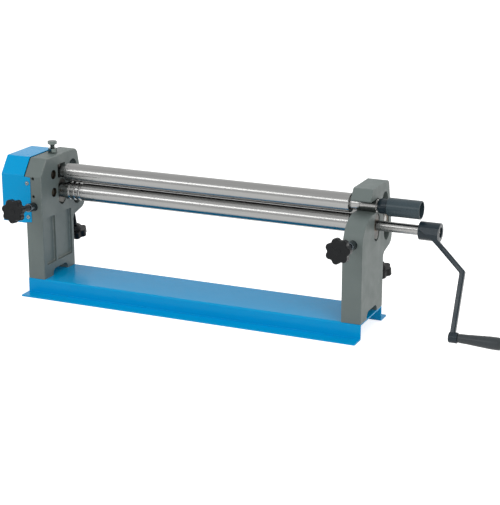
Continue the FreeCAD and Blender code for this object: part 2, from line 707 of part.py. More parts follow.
def add_shank(body, name, radius, length, z):
    """Plain round shank below a hexagonal head, from z down by length."""
    feature = body.newObject("PartDesign::AdditiveCylinder", body.Label + "_" + name)
    bind(feature, "Radius", radius)
    bind(feature, "Height", length)
    place(feature, "0", "0", "%s - (%s)" % (z, length))
    body.Tip = feature
    document.recompute()


def foot_places(z):
    spots = []
    for side in (LEFT, RIGHT):
        for back in ("bolt_front", "bolt_rear"):
            spots.append(shift("%d * %s" % (side, MID_FRAME), "face_back + " + back, z))
    return spots


def make_foot_fasteners():
    """Bolts and washers that hold the frames from under the base's top plate."""
    bolt = make_hexagon("foot_bolt", "hex_flats", "6.4")
    add_shank(bolt, "shank", "bolt_dia / 2 - fit", "bolt_long", "0")
    bolt.Placement = FreeCAD.Placement(FreeCAD.Vector(), FreeCAD.Rotation(X_AXIS, 180))
    document.recompute()
    group("frame_bolts", bolt, foot_places("base_high - base_sheet - 2"))
    washer = turned("foot_washer", tube("0", "2", "10.5", "bolt_dia / 2 + 0.5"),
                    turn=FreeCAD.Rotation(Y_AXIS, -90))
    document.recompute()
    group("frame_washers", washer, foot_places("base_high - base_sheet - 2"))


def make_pivot_screw():
    """Hexagon screw whose dog point is the upper roll's pivot, with its jam nut."""
    screw = make_hexagon("pivot_screw", "hex_flats", "pivot_head")
    shank = "pivot_out + frame_top - window_high"
    add_shank(screw, "shank", "pivot_dia / 2 - fit", shank, "0")
    add_shank(screw, "dog", "pivot_dog / 2", "5", "-(%s)" % shank)
    x = "-" + MID_FRAME
    keep(place(screw, x, ROLL_Y, "frame_top + pivot_out"))
    nut = make_hexagon("pivot_jam_nut", "hex_flats", "nut_high", "pivot_dia / 2")
    keep(place(nut, x, ROLL_Y, "frame_top", FreeCAD.Rotation(Z_AXIS, 20)))


# ---------------------------------------------------------------- gear train

def gear_shape(teeth, bore, keyed):
    """Spur gear solid about local Z: an involute gap cut out of a blank all round."""
    module, pressure = value("module"), math.radians(value("pressure"))
    width = value("gear_wide")
    pitch = module * teeth / 2
    base, tip, root = pitch * math.cos(pressure), pitch + 0.95 * module, pitch - 1.2 * module
    half_tooth = math.pi / (2 * teeth) - value("backlash") / (2 * pitch)

    def gap_angle(radius):
        """Half angle of the tooth gap at a radius; the flank is radial under the base circle."""
        slope = math.acos(min(1.0, base / radius))
        involute = math.tan(slope) - slope
        whole = math.tan(pressure) - pressure
        return math.pi / teeth - (half_tooth + whole - involute)

    def flank(radius, side):
        angle = side * gap_angle(max(radius, base))
        return FreeCAD.Vector(radius * math.cos(angle), radius * math.sin(angle), 0)

    start, outside = max(root, base), tip + 0.5
    middle = (start + outside) / 2
    edges = [Part.Arc(flank(root, -1), FreeCAD.Vector(root, 0, 0), flank(root, 1)).toShape()]
    for side in (1, -1):
        if base > root:
            edges.append(Part.makeLine(flank(root, side), flank(base, side)))
        edges.append(Part.Arc(flank(start, side), flank(middle, side), flank(outside, side)).toShape())
    edges.append(Part.makeLine(flank(outside, 1), flank(outside, -1)))
    gap = Part.Face(Part.Wire(Part.__sortEdges__(edges))).extrude(FreeCAD.Vector(0, 0, width))
    gaps = []
    for tooth in range(int(teeth)):
        copy = gap.copy()
        copy.rotate(FreeCAD.Vector(), Z_AXIS, (tooth + 0.5) * 360.0 / teeth)
        gaps.append(copy)
    solid = Part.makeCylinder(tip, width).cut(Part.makeCompound(gaps))
    solid = solid.cut(Part.makeCylinder(bore, width))
    if keyed:
        key = value("key_size")
        slot = Part.makeBox(bore + key / 2, key, width, FreeCAD.Vector(0, -key / 2, 0))
        solid = solid.cut(slot)
    return solid.removeSplitter()


def meshing_phase(phase, teeth, line, other_teeth):
    """Angle of a tooth of the other gear that meshes, along a line of centres at angle line."""
    turn = 360.0
    fraction = ((line - phase) * teeth / turn) % 1.0
    return line + turn / 2 - (0.5 - fraction) * turn / other_teeth


def centre_line(start, end):
    """Angle from +Y towards +Z of the line from one (y, z) centre to another."""
    return math.degrees(math.atan2(value(end[1]) - value(start[1]), value(end[0]) - value(start[0])))


def make_gear(label, teeth, bore, centre, phase, keyed):
    """Gear on the left end, one tooth at angle phase; its key slot lies at the same angle."""
    node = document.addObject("Part::Feature", label)
    node.Label = label
    node.Shape = gear_shape(teeth, bore, keyed)
    lay_down = FreeCAD.Rotation(Y_AXIS, 90)
    local_x_down = -90.0
    spin = FreeCAD.Rotation(X_AXIS, phase - local_x_down)
    base = FreeCAD.Vector(-value(GEAR_OUT) - value("gear_wide"), value(centre[0]), value(centre[1]))
    node.Placement = FreeCAD.Placement(base, spin.multiply(lay_down))
    return keep(node)


def make_clip(label, dia, y, z):
    """Retaining clip at the outer face of a gear."""
    outer = "-%s - gear_wide" % GEAR_OUT
    outline = tube(outer + " - clip_thick - 0.1", outer + " - 0.1", dia + " / 2 + 2.5", dia + " / 2 - 0.6")
    return turned(label, outline, "0", y, z)


def make_gear_train():
    """Two roll gears and two idlers: the rolls turn opposite ways at the same speed."""
    idler_y = "(face_back + %s)" % IDLER_BACK
    lower, upper = (ROLL_Y, "lower_high"), (ROLL_Y, UPPER_Z)
    low, high = (idler_y, LOW_IDLER_Z), (idler_y, HIGH_IDLER_Z)
    small, large = value("roll_teeth"), value("idler_teeth")
    low_phase = centre_line(low, lower)
    lower_phase = meshing_phase(low_phase, large, centre_line(low, lower), small)
    high_phase = meshing_phase(low_phase, large, centre_line(low, high), large)
    upper_phase = meshing_phase(high_phase, large, centre_line(high, upper), small)
    seat, bush_bore = value("gear_seat") / 2, value("idler_bush") / 2
    make_gear("lower_roll_gear", small, seat, lower, lower_phase, True)
    make_gear("upper_roll_gear", small, seat, upper, upper_phase, True)
    make_gear("lower_idler_gear", large, bush_bore, low, low_phase, False)
    make_gear("upper_idler_gear", large, bush_bore, high, high_phase, False)
    start, end = "-%s - gear_wide" % GEAR_OUT, "-" + GEAR_OUT
    for label, (y, z) in (("lower_idler_bush", low), ("upper_idler_bush", high)):
        outline = tube(start, end, "idler_bush / 2", "stub_dia / 2 + fit")
        keep(turned(label, outline, "0", y, z))
    make_idler_shafts(low, high)
    keys = (("lower_gear_key", lower, lower_phase), ("upper_gear_key", upper, upper_phase))
    for label, (y, z), phase in keys:
        make_key(label, y, z, phase)
    keep(make_clip("lower_gear_clip", "gear_seat", *lower))
    keep(make_clip("upper_gear_clip", "gear_seat", *upper))
    return lower_phase, upper_phase


def make_key(label, y, z, phase):
    """Square key between a gear and its seat, standing at the gear's phase angle."""
    body = new_body(label)
    sketch = new_sketch(body, "plan", "XY_Plane", "gear_seat / 2 - key_size * 0.6")
    draw_outline(sketch, box_outline("-%s - gear_wide + 2" % GEAR_OUT, "-%s - 2" % GEAR_OUT,
                                     "-key_size / 2", "key_size / 2"))
    pad(body, sketch, "key_size")
    upright = 90.0
    return keep(place(body, "0", y, z, FreeCAD.Rotation(X_AXIS, phase - upright)))


def make_idler_shafts(low, high):
    """Stub shafts held in the left frame, their clips and the set screws that lock them."""
    inner = "-frame_gap / 2 - stub_recess"
    shoulder = "-%s + 0.2" % GEAR_OUT
    clip = "-%s - gear_wide" % GEAR_OUT
    end = clip + " - 4"
    groove_low = "stub_dia / 2 - 0.6"
    outline = [
        (end, "0"), (inner, "0"), (inner, "journal_dia / 2 - fit"), (shoulder, "journal_dia / 2 - fit"),
        (shoulder, "stub_dia / 2"), (clip + " - 0.1", "stub_dia / 2"), (clip + " - 0.1", groove_low),
        (clip + " - 0.1 - clip_thick", groove_low), (clip + " - 0.1 - clip_thick", "stub_dia / 2"),
        (end, "stub_dia / 2"),
    ]
    shaft = turned("idler_shaft", outline)
    centres = [shift("0", y, z) for y, z in (low, high)]
    group("idler_shafts", shaft, centres)
    group("idler_clips", make_clip("idler_clip", "stub_dia", "0", "0"), centres)
    tip = "face_back + %s - journal_dia / 2 + fit" % IDLER_BACK
    screw = turned("set_screw", [("0", "0"), ("16", "0"), ("16", "3.5"), ("0", "3.5")],
                   turn=FreeCAD.Rotation(Z_AXIS, 90))
    spots = [shift("-" + MID_FRAME, "%s - 16.1" % tip, z) for z in (LOW_IDLER_Z, HIGH_IDLER_Z)]
    group("idler_set_screws", screw, spots)


# ---------------------------------------------------------------- rolls

def barrel(shoulder, start=COLLAR_END):
    """Barrel of a roll between two shoulders of a given radius, the left one from -start."""
    radius = "roll_dia / 2"
    return [
        ("-" + start, shoulder), ("-" + ROLL_LEFT, shoulder),
        ("-" + ROLL_LEFT, radius + " - roll_bevel"), ("-%s + roll_bevel" % ROLL_LEFT, radius),
        (ROLL_RIGHT + " - roll_bevel", radius), (ROLL_RIGHT, radius + " - roll_bevel"),
        (ROLL_RIGHT, shoulder),
    ]


def gear_end(end=COLLAR_END):
    """Left end of a driven roll: clip groove, gear seat and journal up to -end."""
    clip = "-%s - gear_wide - 0.1" % GEAR_OUT
    seat, low = "gear_seat / 2", "gear_seat / 2 - 0.6"
    return [
        (clip + " - 3.9", "0"), (clip + " - 3.9", seat), (clip + " - clip_thick", seat),
        (clip + " - clip_thick", low), (clip, low), (clip, seat), ("-" + GEAR_OUT, seat),
        ("-" + GEAR_OUT, "journal_dia / 2"), ("-" + end, "journal_dia / 2"),
    ]


def phase_turn(phase):
    """Turn that brings a roll's key slot, cut upwards, to the gear's phase angle."""
    return FreeCAD.Rotation(X_AXIS, phase - 90.0)


def make_lower_roll(phase):
    """Driven roll; its right journal runs on as the crank shaft."""
    collar = "collar_dia / 2"
    outline = gear_end() + barrel(collar)
    outline += [
        (COLLAR_END, collar), (COLLAR_END, "journal_dia / 2"), ("shaft_end - 1.5", "journal_dia / 2"),
        ("shaft_end", "journal_dia / 2 - 1.5"), ("shaft_end", "0"),
    ]
    body = turned("lower_roll", outline, "0", ROLL_Y, "lower_high", phase_turn(phase))
    for index in range(3):
        wire_groove(body, index)
    keyway(body, "-%s - gear_wide + 1" % GEAR_OUT, "-%s - 1" % GEAR_OUT, "gear_seat / 2")
    return keep(body)


def make_upper_roll(phase):
    """Swing-out roll: gear seat on the left, mouth journal and handle spigot on the right."""
    journal = "mouth_journal / 2"
    outline = gear_end(SWING_END) + barrel(journal, SWING_END)
    outline += [
        ("oil_groove", journal), ("oil_groove", journal + " - oil_deep"),
        ("oil_groove + oil_wide", journal + " - oil_deep"), ("oil_groove + oil_wide", journal),
        ("mouth_journal_end", journal), ("mouth_journal_end", "journal_dia / 2"),
        ("tube_start + 30", "journal_dia / 2"), ("tube_start + 30", "0"),
    ]
    body = turned("upper_roll", outline, "0", ROLL_Y, UPPER_Z, phase_turn(phase))
    keyway(body, "-%s - gear_wide + 1" % GEAR_OUT, "-%s - 1" % GEAR_OUT, "gear_seat / 2")
    return keep(body)


def make_rear_roll():
    """Idle bending roll with the same wire grooves."""
    journal, collar, end = "journal_dia / 2", "collar_dia / 2", "(%s - 2)" % OUTER
    outline = [("-" + end, "0"), ("-" + end, journal), ("-" + COLLAR_END, journal)]
    outline += barrel(collar)
    outline += [(COLLAR_END, collar), (COLLAR_END, journal), (end, journal), (end, "0")]
    body = turned("rear_roll", outline, "0", REAR_Y, REAR_Z)
    for index in range(3):
        wire_groove(body, index)
    return keep(body)


# ---------------------------------------------------------------- bearings

def block_x(side):
    """Inner end of a bearing block, as the local X of its left face."""
    middle = "%d * %s" % (side, MID_FRAME)
    return middle + " - block_wide / 2"


WEDGE_MID = "(roll_back / cos(screw_tilt))"


def make_lower_blocks():
    """Obround blocks that slide in the upright slots and stand on the wedge pins' flats."""
    radius = "slot_wide / 2 - fit"
    low = ("0", "slot_low + slot_wide / 2 + drop_room - lower_high")
    high = ("0", "slot_high - slot_wide / 2 - lift_room - lower_high")
    slope = "(screw_tilt + wedge_angle)"
    flat_y = "wedge_rise * sin(screw_tilt)"
    fall = "%s * sin(screw_tilt)" % WEDGE_MID
    flat_z = "screw_high - %s + wedge_rise * cos(screw_tilt) + 0.05 - lower_high" % fall
    for name, side in (("left", LEFT), ("right", RIGHT)):
        body = new_body("lower_%s_block" % name)
        pad(body, draw_obround(new_sketch(body, "outline", "YZ_Plane"), low, high, radius), "block_wide")
        foot = new_sketch(body, "foot", "YZ_Plane")
        reach = 25
        draw_outline(foot, [
            ("%s - %d" % (flat_y, reach), "%s + %d * tan(%s)" % (flat_z, reach, slope)),
            ("%s - %d" % (flat_y, reach), "%s - 20" % flat_z),
            ("%s + %d" % (flat_y, reach), "%s - 20" % flat_z),
            ("%s + %d" % (flat_y, reach), "%s - %d * tan(%s)" % (flat_z, reach, slope)),
        ])
        pocket(body, foot)
        bore = draw_circle(new_sketch(body, "bore", "YZ_Plane"), "0", "0", "bush_dia / 2")
        pocket(body, bore)
        keep(place(body, block_x(side), ROLL_Y, "lower_high"))
        bush = tube("0", "block_wide", "bush_dia / 2 - fit", "journal_dia / 2 + fit")
        keep(turned("lower_%s_bush" % name, bush, block_x(side), ROLL_Y, "lower_high"))


def make_rear_blocks():
    """Obround blocks that slide in the inclined slots, pushed up by the rear screws."""
    lean = FreeCAD.Rotation(X_AXIS, value("rear_tilt"))
    for name, side in (("left", LEFT), ("right", RIGHT)):
        body = new_body("rear_%s_block" % name)
        sketch = new_sketch(body, "outline", "YZ_Plane")
        draw_obround(sketch, ("0", "-rear_spread / 2"), ("0", "rear_spread / 2"), "rear_wide / 2 - fit")
        pad(body, sketch, "block_wide")
        bore = draw_circle(new_sketch(body, "bore", "YZ_Plane"), "0", "0", "bush_dia / 2")
        pocket(body, bore)
        keep(place(body, block_x(side), REAR_Y, REAR_Z, lean))
        bush = tube("0", "block_wide", "bush_dia / 2", "journal_dia / 2 + fit")
        keep(turned("rear_%s_bush" % name, bush, block_x(side), REAR_Y, REAR_Z))


def make_swivel_block():
    """Upright round block in the left window that carries the upper roll's left journal."""
    body = new_body("swivel_block")
    disc = new_sketch(body, "plan", "XY_Plane", "window_low + 0.05 - %s" % UPPER_Z)
    draw_circle(disc, "0", "0", "slot_wide / 2 - fit")
    pad(body, disc, "window_high - window_low - 0.1")
    bore = draw_circle(new_sketch(body, "bore", "YZ_Plane"), "0", "0", "journal_dia / 2 + fit")
    pocket(body, bore)
    drill(body, "dog_hole", "pivot_dog / 2 + fit", "8", "0", "0", "window_high - 6 - %s" % UPPER_Z, None)
    return keep(place(body, "-" + MID_FRAME, ROLL_Y, UPPER_Z))


# ---------------------------------------------------------------- adjusters

def star_arcs(turn):
    """Arcs of the knob's star, turned by so many degrees: a convex lobe and a concave valley in turn."""
    count = int(value("lobes"))
    lobe, valley = value("lobe_dia") / 2, value("valley_radius")
    ring = value("knob_dia") / 2 - lobe
    step = 2 * math.pi / count
    reach = lobe + valley
    dip = ring * math.cos(step / 2) + math.sqrt(reach ** 2 - (ring * math.sin(step / 2)) ** 2)
    swing = math.atan2(dip * math.sin(step / 2), dip * math.cos(step / 2) - ring)
    arcs = []
    for index in range(count):
        degrees = "(360 / lobes * %d + %g)" % (index, turn)
        x = "(knob_dia - lobe_dia) / 2 * cos(%s)" % degrees
        y = "(knob_dia - lobe_dia) / 2 * sin(%s)" % degrees
        at = index * step + math.radians(turn)
        arcs.append((x, y, "lobe_dia / 2", at - swing, at + swing, False, True))
        middle = at + step / 2
        valley_x, valley_y = dip * math.cos(middle), dip * math.sin(middle)
        enter = at + swing + math.pi
        leave = at + step - swing + math.pi
        arcs.append((valley_x, valley_y, "valley_radius", enter, leave, True, False))
    return arcs


def make_knob(label, outer_face, screw_radius, turn=0.0):
    """Star knob on local X, turned on its screw: hub towards the machine, its bore tight on the screw."""
    body = new_body(label)
    sketch = draw_arcs(new_sketch(body, "star", "YZ_Plane", outer_face), star_arcs(turn))
    pad(body, sketch, "knob_thick")
    start = value(outer_face)

    def front_rim(edge):
        return edge.BoundBox.XLength < 1e-6 and abs(edge.CenterOfMass.x - start) < 1e-3

    bevel_edges(body, "2", front_rim)
    hub = new_sketch(body, "hub", "XZ_Plane")
    star_back = "%s + knob_thick" % outer_face
    draw_outline(hub, [
        (star_back + " - 1", "0"), (star_back + " - 1", "hub_dia / 2 + 2"), (star_back, "hub_dia / 2 + 2"),
        (star_back + " + 2", "hub_dia / 2"), (star_back + " + hub_long", "hub_dia / 2 - 1"),
        (star_back + " + hub_long", "0"),
    ])
    spin = body.newObject("PartDesign::Revolution", label + "_hub_turning")
    spin.Profile = hub
    spin.ReferenceAxis = (hub, ["H_Axis"])
    spin.Angle = 360
    body.Tip = spin
    document.recompute()
    bore = draw_circle(new_sketch(body, "bore", "YZ_Plane", outer_face + " + 6"), "0", "0", screw_radius)
    pocket(body, bore, "knob_thick + hub_long", towards_normal=True)
    return body


def make_front_adjusters():
    """Sleeve, screw, star knob and wedge pin at the foot of each upright slot."""
    along = FreeCAD.Rotation(X_AXIS, -value("screw_tilt")).multiply(FreeCAD.Rotation(Z_AXIS, 90))
    radius = "screw_dia / 2 - fit"
    sleeve_outline = [
        ("-sleeve_out", "screw_dia / 2"), ("20", "screw_dia / 2"), ("20", "wedge_dia / 2 - fit"),
        ("spot_deep", "wedge_dia / 2 - fit"), ("spot_deep", "sleeve_dia / 2"),
        ("-sleeve_out + 1", "sleeve_dia / 2"), ("-sleeve_out", "sleeve_dia / 2 - 1"),
    ]
    sleeve = turned("screw_sleeve", sleeve_outline, turn=along)
    spots = []
    for name, side, turn in (("left", LEFT, 12.0), ("right", RIGHT, 21.0)):
        x = "%d * %s" % (side, MID_FRAME)
        spots.append(shift(x, "face_back", "screw_high"))
        make_wedge("%s_wedge_pin" % name, x, along)
        outer = "-front_knob_out"
        screw = [(outer + " + 6", "0"), (outer + " + 6", radius), ("wedge_start - 1.1", radius)]
        screw += [("wedge_start - 0.1", radius + " - 1"), ("wedge_start - 0.1", "0")]
        keep(turned("front_%s_screw" % name, screw, x, "face_back", "screw_high", along))
        knob = make_knob("front_%s_knob" % name, outer, radius, turn)
        keep(place(knob, x, "face_back", "screw_high", along))
    group("screw_sleeves", sleeve, spots)


def make_wedge(label, x, along):
    """Round pin with a long flat whose slope lifts the bearing block above it."""
    radius = "wedge_dia / 2 - fit"
    outline = [("wedge_start", "0"), ("wedge_start", radius), ("wedge_end - 1", radius)]
    outline += [("wedge_end", radius + " - 1"), ("wedge_end", "0")]
    body = turned(label, outline, x, "face_back", "screw_high", along)
    flat = new_sketch(body, "flat", "XZ_Plane")
    rise = "wedge_rise - (%s - %s) * tan(wedge_angle)"
    start, end = "(wedge_start + 3)", "(wedge_end + 2)"
    draw_outline(flat, [
        (start, rise % (start, WEDGE_MID)), (end, rise % (end, WEDGE_MID)),
        (end, "wedge_dia"), (start, "wedge_dia"),
    ])
    pocket(body, flat)
    return keep(body)


def make_rear_adjusters():
    """Screw and star knob under each rear bearing block."""
    down = FreeCAD.Rotation(X_AXIS, value("rear_tilt")).multiply(FreeCAD.Rotation(Y_AXIS, 90))
    radius = "screw_dia / 2 - fit"
    tip = "rear_spread / 2 + rear_wide / 2 + 0.05"
    for name, side in (("left", LEFT), ("right", RIGHT)):
        x = "%d * %s" % (side, MID_FRAME)
        end = "rear_knob_down - 6"
        screw = [(tip, "0"), (tip, radius + " - 1"), (tip + " + 1", radius), (end, radius), (end, "0")]
        keep(turned("rear_%s_screw" % name, screw, x, REAR_Y, REAR_Z, down))
        flip = down.multiply(FreeCAD.Rotation(Y_AXIS, 180))
        knob = make_knob("rear_%s_knob" % name, "-rear_knob_down", radius)
        keep(place(knob, x, REAR_Y, REAR_Z, flip))


# ---------------------------------------------------------------- crank and handle

def make_crank():
    """Cranked bar welded between a hub on the shaft and a boss for the grip's pin."""
    body = new_body("crank")
    half = "bar_thick / 2"
    hub_mid = "(crank_hub_start + crank_hub_end) / 2"
    fall = "atan((bend_radius - 5) / (bend_out - %s))" % hub_mid
    mitre = "%s * (1 - sin(%s)) / cos(%s)" % (half, fall, fall)
    side_x, side_z = "%s * sin(%s)" % (half, fall), "%s * cos(%s)" % (half, fall)
    bar = new_sketch(body, "bar", "XZ_Plane")
    draw_outline(bar, [
        ("%s + %s" % (hub_mid, side_x), "-5 + " + side_z),
        ("bend_out + " + half, "-bend_radius + " + mitre),
        ("bend_out + " + half, "-throw"),
        ("bend_out - " + half, "-throw"),
        ("bend_out - " + half, "-bend_radius - " + mitre),
        ("%s - %s" % (hub_mid, side_x), "-5 - " + side_z),
    ])
    pad(body, bar, "bar_wide", both_ways=True)

    def bar_edge(edge):
        return edge.BoundBox.YLength < 1e-6

    bevel_edges(body, "1.2", bar_edge)
    hub = draw_circle(new_sketch(body, "hub", "YZ_Plane", "crank_hub_start"), "0", "0", "crank_hub_dia / 2")
    pad(body, hub, "crank_hub_end - crank_hub_start")
    boss = draw_circle(new_sketch(body, "boss", "YZ_Plane", "boss_start"), "0", "-throw", "boss_dia / 2")
    pad(body, boss, "boss_end - boss_start")

    def rims(edge):
        box = edge.BoundBox
        whole = abs(box.YLength - box.ZLength) < 1e-3 and box.YLength > 20
        return box.XLength < 1e-6 and whole

    bevel_edges(body, "1", rims)
    across = FreeCAD.Rotation(Y_AXIS, 90)
    drill(body, "shaft_bore", "journal_dia / 2", "100", "crank_hub_start - 5", "0", "0", across)
    drill(body, "pin_bore", "pin_dia / 2", "100", "boss_start - 5", "0", "-throw", across)
    to_rear = FreeCAD.Rotation(X_AXIS, -90)
    drill(body, "set_hole", "4", "15", hub_mid, "5", "0", to_rear)
    lean = FreeCAD.Rotation(X_AXIS, -value("crank_lean"))
    keep(place(body, "0", ROLL_Y, "lower_high", lean))
    screw = turned("crank_set_screw", [("0", "0"), ("7", "0"), ("7", "4"), ("0", "4")])
    seat = "(journal_dia / 2 + 0.1)"
    turn = lean.multiply(FreeCAD.Rotation(Z_AXIS, 90))
    keep(place(screw, hub_mid, ROLL_Y + " + %s * cos(crank_lean)" % seat,
               "lower_high - %s * sin(crank_lean)" % seat, turn))


def make_grip():
    """Grip that spins on a headed pin, fatter at its outer end."""
    y = ROLL_Y + " - throw * sin(crank_lean)"
    z = "lower_high - throw * cos(crank_lean)"
    inner = "pin_dia / 2 + 0.05"
    start = "boss_end + 0.5"
    outline = [
        (start, inner), ("grip_end - 3", inner), ("grip_end - 3", "7"), ("grip_end - 0.5", "7"),
        ("grip_end - 0.5", "9.5"), ("grip_end - 3", "11.5"), ("grip_end - 9", "12.2"),
        ("grip_end - 22", "12"), ("grip_end - 45", "10.6"), ("grip_end - 66", "9.2"),
        (start + " + 5", "8.8"), (start, "8.3"),
    ]
    keep(turned("crank_grip", outline, "0", y, z))
    head = "grip_end - 2.8"
    slim = "pin_dia / 2 - 0.01"
    pin = [("boss_start", "0"), ("boss_start", slim), (head, slim), (head, "6.5")]
    pin += [("grip_end - 0.8", "6.5"), ("grip_end", "5.5"), ("grip_end", "0")]
    keep(turned("grip_pin", pin, "0", y, z))


def make_handle():
    """Hub and open tube on the upper roll's right end, by which it is swung out."""
    bore = "journal_dia / 2 + 0.01"
    spigot = "tube_dia / 2 - tube_wall - 0.01"
    outer = "hub_outer / 2"
    outline = [("handle_start", bore), ("tube_start + 20", bore), ("tube_start + 20", spigot)]
    outline += [("tube_start", spigot), ("tube_start", outer)]
    nose_long, nose_high, steps = 8, 3.5, 4
    for step in range(steps + 1):
        angle = 90 - step * 90 / steps
        x = "handle_start + %g * (1 - cos(%g))" % (nose_long, angle)
        outline.append((x, "%s - %g * (1 - sin(%g))" % (outer, nose_high, angle)))
    hub = turned("handle_hub", outline, "0", ROLL_Y, UPPER_Z)
    keep(hub)
    wall = tube("tube_start", "handle_end", "tube_dia / 2", "tube_dia / 2 - tube_wall")
    pipe = turned("handle_tube", wall, "0", ROLL_Y, UPPER_Z)

    def outer_rims(edge):
        return edge.BoundBox.YLength > value("tube_dia") - 0.1 and edge.BoundBox.XLength < 1e-6

    bevel_edges(pipe, "0.6", outer_rims)
    keep(pipe)


# ---------------------------------------------------------------- whole machine

make_base()
make_frame("left_frame", LEFT)
make_frame("right_frame", RIGHT)
make_gear_cover()
make_cover_screws()
make_foot_fasteners()
make_pivot_screw()
lower_phase, upper_phase = make_gear_train()
make_lower_roll(lower_phase)
make_upper_roll(upper_phase)
make_rear_roll()
make_lower_blocks()
make_rear_blocks()
make_swivel_block()
make_front_adjusters()
make_rear_adjusters()
make_crank()
make_grip()
make_handle()

document.recompute()
for item in document.Objects:
    assert not {"Invalid", "Error"} & set(item.State), item.Label + " failed"
os.makedirs("parts", exist_ok=True)
for node in NODES:
    shape = node.Shape
    assert not shape.isNull() and shape.isValid() and shape.Solids, node.Label + " is not a sound solid"
    shape.exportStep("parts/%s.step" % node.Label)
    print("%-20s %9.1f mm3  %d solid(s)" % (node.Label, shape.Volume, len(shape.Solids)))
print(len(NODES), "nodes")
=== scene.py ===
"""Dresses the bench slip roll: shapes, finishes, floor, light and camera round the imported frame.

Sizes are in millimetres in the machine's own frame: +X runs along the rolls towards the crank,
+Y to the rear and +Z up. A piece becomes metres when it is finished.
"""

import logging
import math
from collections.abc import Callable, Iterable, Sequence
from dataclasses import dataclass
from enum import Enum
from functools import cached_property

import bmesh
import bpy
from mathutils import Matrix, Vector


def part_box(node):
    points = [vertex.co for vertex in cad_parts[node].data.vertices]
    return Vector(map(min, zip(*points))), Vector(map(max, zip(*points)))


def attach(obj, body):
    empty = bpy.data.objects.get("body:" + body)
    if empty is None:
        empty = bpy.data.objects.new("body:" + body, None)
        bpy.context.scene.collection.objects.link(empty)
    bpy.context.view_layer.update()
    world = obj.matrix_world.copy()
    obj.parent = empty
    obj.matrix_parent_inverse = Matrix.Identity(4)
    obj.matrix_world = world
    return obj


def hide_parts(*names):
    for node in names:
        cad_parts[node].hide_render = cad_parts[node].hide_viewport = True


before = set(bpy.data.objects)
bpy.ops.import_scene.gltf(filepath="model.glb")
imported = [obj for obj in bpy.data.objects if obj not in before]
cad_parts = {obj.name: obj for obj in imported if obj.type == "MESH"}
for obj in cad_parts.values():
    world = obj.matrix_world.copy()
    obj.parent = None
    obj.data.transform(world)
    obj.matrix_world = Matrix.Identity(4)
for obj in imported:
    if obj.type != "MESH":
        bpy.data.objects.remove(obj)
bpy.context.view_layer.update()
LOG = logging.getLogger("slip_roll")

MM = 0.001
# Points closer than WELD become one; picks by place allow for NEAR.
WELD = 2e-4
NEAR = 0.01
SLOT_TILT = math.radians(13)
SCREW_TILT = math.radians(7)
CRANK_LEAN = math.radians(25)
ROUND_STEPS = 96
# Where a thread's crest starts and ends, where its root starts again, and its depth, in pitches.
THREAD_SHARES = (0.4, 0.52, 0.92, 0.61)
EDGE_MASK = "edge"

Point = tuple[float, float]
Corner = tuple[float, float, float]
Colour = tuple[float, float, float]


class Side(Enum):
    """The two ends of the machine."""

    LEFT = -1
    RIGHT = 1

    @property
    def word(self) -> str:
        """Name of the side in node names."""
        return self.name.lower()


@dataclass(frozen=True)
class Box:
    """Rest box of a frame node."""

    low: Vector
    high: Vector

    @classmethod
    def of(cls, node: str) -> "Box":
        """Box of a node by name."""
        low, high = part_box(node)
        return cls(low / MM, high / MM)

    @property
    def centre(self) -> Vector:
        """Middle of the box."""
        return (self.low + self.high) / 2


# ------------------------------------------------------------------ outlines


def rounded(corners: Iterable[Corner], step: float = 9.0) -> list[Point]:
    """Closed outline with its corners rounded.

    Args:
        corners: Corner points, each with its rounding radius.
        step: Degrees of turn per segment of a rounding.

    Returns:
        The outline's points in order.
    """
    corners = list(corners)
    points: list[Point] = []
    for index, (a, b, radius) in enumerate(corners):
        here = Vector((a, b))
        if radius <= 0:
            points.append((a, b))
            continue
        back = (Vector(corners[index - 1][:2]) - here).normalized()
        onward = (Vector(corners[(index + 1) % len(corners)][:2]) - here).normalized()
        half = back.angle(onward) / 2
        centre = here + (back + onward).normalized() * radius / math.sin(half)
        arm = here + back * radius / math.tan(half) - centre
        turn = math.copysign(math.pi - 2 * half, back.y * onward.x - back.x * onward.y)
        count = max(2, math.ceil(abs(math.degrees(turn)) / step))
        for place in range(count + 1):
            spoke = arm.copy()
            spoke.rotate(Matrix.Rotation(turn * place / count, 2))
            points.append(tuple(centre + spoke))
    return points


def obround(low: Point, high: Point, radius: float) -> list[Point]:
    """Round-ended outline between two centres.

    Args:
        low: First centre.
        high: Second centre.
        radius: Half the outline's width.

    Returns:
        The outline's points in order.
    """
    along = (Vector(high) - Vector(low)).normalized() * radius
    side = Vector((-along.y, along.x))
    spots = [
        Vector(low) - along + side,
        Vector(low) - along - side,
        Vector(high) + along - side,
        Vector(high) + along + side,
    ]
    return rounded([(spot.x, spot.y, radius - WELD) for spot in spots], step=7.5)


def circle(radius: float, centre: Point = (0.0, 0.0), steps: int = 48) -> list[Point]:
    """Round outline."""
    turns = [2 * math.pi * place / steps for place in range(steps)]
    return [(centre[0] + radius * math.cos(t), centre[1] + radius * math.sin(t)) for t in turns]


def half_round(centre: float, rim: float, radius: float, steps: int = 10) -> list[Point]:
    """Profile points of a half-round groove in a turned surface of radius rim."""
    turns = [math.pi * place / steps for place in range(steps + 1)]
    return [(centre - radius * math.cos(t), rim - radius * math.sin(t)) for t in turns]


# ------------------------------------------------------------------ shapes


